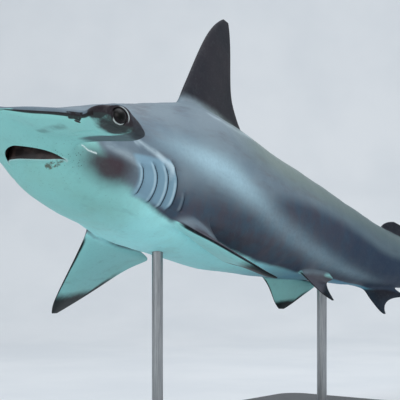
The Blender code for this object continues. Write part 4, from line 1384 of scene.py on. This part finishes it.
def make_eye(name, side, look):
    """An eyeball that faces out of its socket, with the share of the way from its middle as a mark."""
    centre, ahead = eye_axis(side)
    mesh = ball(name, 64, 64)
    unit = points_of(mesh)
    share = np.where(unit[:, 2] > 0, np.hypot(unit[:, 0], unit[:, 1]), 1.0)
    middle, front = place((centre, centre + ahead * 0.01))
    turn = np.array(Vector(front - middle).to_track_quat("Z", "Y").to_matrix())
    turned_round = unit @ turn.T
    low = step(0.25, 0.75, -turned_round[:, 2] - 0.5 * turned_round[:, 0])
    write_mark(mesh, "ring", share)
    write_mark(mesh, "crescent", window(0.70, 0.745, 0.79, 0.83, share) * low)
    set_points(mesh, turned_round * EYE_RADIUS * TOTAL_LENGTH + middle)
    return finish(mesh, look)


def studio():
    """Pale floor that sweeps up into a backdrop, behind the shark as the camera sees it."""
    reach, back, bow, rise = 7.0, 2.4, 1.6, 5.0
    turns = np.linspace(0.1, math.pi / 2, 14)
    profile = [(-reach, 0.0), (back, 0.0)]
    profile += [(back + bow * math.sin(a), bow - bow * math.cos(a)) for a in turns]
    profile.append((back + bow, rise))
    side = Vector((-CAMERA_DIRECTION.y, CAMERA_DIRECTION.x, 0.0))
    points = [
        CAMERA_DIRECTION * along + side * across + Vector((0, 0, up))
        for along, up in profile
        for across in (-reach, reach)
    ]
    faces = [(i, i + 2, i + 3, i + 1) for i in range(0, len(points) - 2, 2)]
    mesh = bpy.data.meshes.new("studio_sweep")
    mesh.from_pydata(points, [], faces)
    return finish(mesh, floor_look())


def area_light(name, place_at, aim, size, power_watts, colour=(1.0, 1.0, 1.0)):
    """A soft square light."""
    lamp = bpy.data.lights.new(name, "AREA")
    lamp.size = size
    lamp.energy = power_watts
    lamp.color = colour
    made = new_object(name, lamp)
    made.location = place_at
    made.rotation_euler = (Vector(aim) - Vector(place_at)).to_track_quat("-Z", "Y").to_euler()


def lights():
    """Soft studio light from above, a broad key on the shark's left side and pale surroundings."""
    area_light("key", (-3.2, -3.6, 3.2), (0.0, 0.0, 0.6), 2.6, 70.0, (1.0, 0.98, 0.95))
    area_light("top", (0.4, -0.8, 3.6), (0.0, 0.0, 0.5), 3.2, 90.0, (0.94, 0.97, 1.0))
    area_light("fill", (-4.6, 0.6, 1.2), (-0.6, 0.0, 0.5), 2.2, 18.0, (0.94, 0.98, 1.0))
    world = bpy.data.worlds.new("studio_air")
    world.use_nodes = True
    air = world.node_tree.nodes["Background"]
    air.inputs["Color"].default_value = (0.90, 0.95, 1.0, 1.0)
    air.inputs["Strength"].default_value = 0.50
    bpy.context.scene.world = world


def camera():
    """The photograph's view."""
    lens = bpy.data.cameras.new("view")
    lens.lens = CAMERA_LENS
    lens.sensor_width = 36.0
    made = new_object("view", lens)
    made.location = Vector(REFERENCE_PLACE + CAMERA_OFFSET * TOTAL_LENGTH)
    made.rotation_euler = CAMERA_DIRECTION.to_track_quat("-Z", "Y").to_euler()
    bpy.context.scene.camera = made


def dress(frame):
    """Every piece, its finish, the light and the camera round the loaded frame."""
    camera()
    lights()
    bpy.context.scene.view_settings.view_transform = "Standard"

    lining = lining_look()
    skin = make_skin(skin_look(), lining)
    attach(skin, "root")
    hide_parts(*FLESH_NODES)
    eye_paint = eye_look()
    for name, side in (("left", 1), ("right", -1)):
        eye = make_eye(f"shark_eye_{name}", side, eye_paint)
        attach(eye, "root")
        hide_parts(f"eye_{name}")
    steel, plate = metal_look(), plate_look()
    for name, look in (("stand_rod_front", steel), ("stand_rod_rear", steel), ("stand_base", plate)):
        for slot in frame["nodes"][name].material_slots:
            slot.material = look
    studio()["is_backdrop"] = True


def write_sizes(*boxes):
    """The CAD box and the visual model's box, as plain lists of numbers."""
    [[list(map(float, corner)) for corner in box] for box in boxes]


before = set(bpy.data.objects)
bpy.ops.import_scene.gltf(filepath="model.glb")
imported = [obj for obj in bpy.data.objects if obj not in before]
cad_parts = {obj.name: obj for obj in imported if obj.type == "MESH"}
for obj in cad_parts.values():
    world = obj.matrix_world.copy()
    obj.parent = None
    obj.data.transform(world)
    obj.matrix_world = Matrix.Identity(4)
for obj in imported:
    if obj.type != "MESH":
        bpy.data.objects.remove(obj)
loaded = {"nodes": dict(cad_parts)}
cad_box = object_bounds()
dress(loaded)
write_sizes(cad_box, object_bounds())
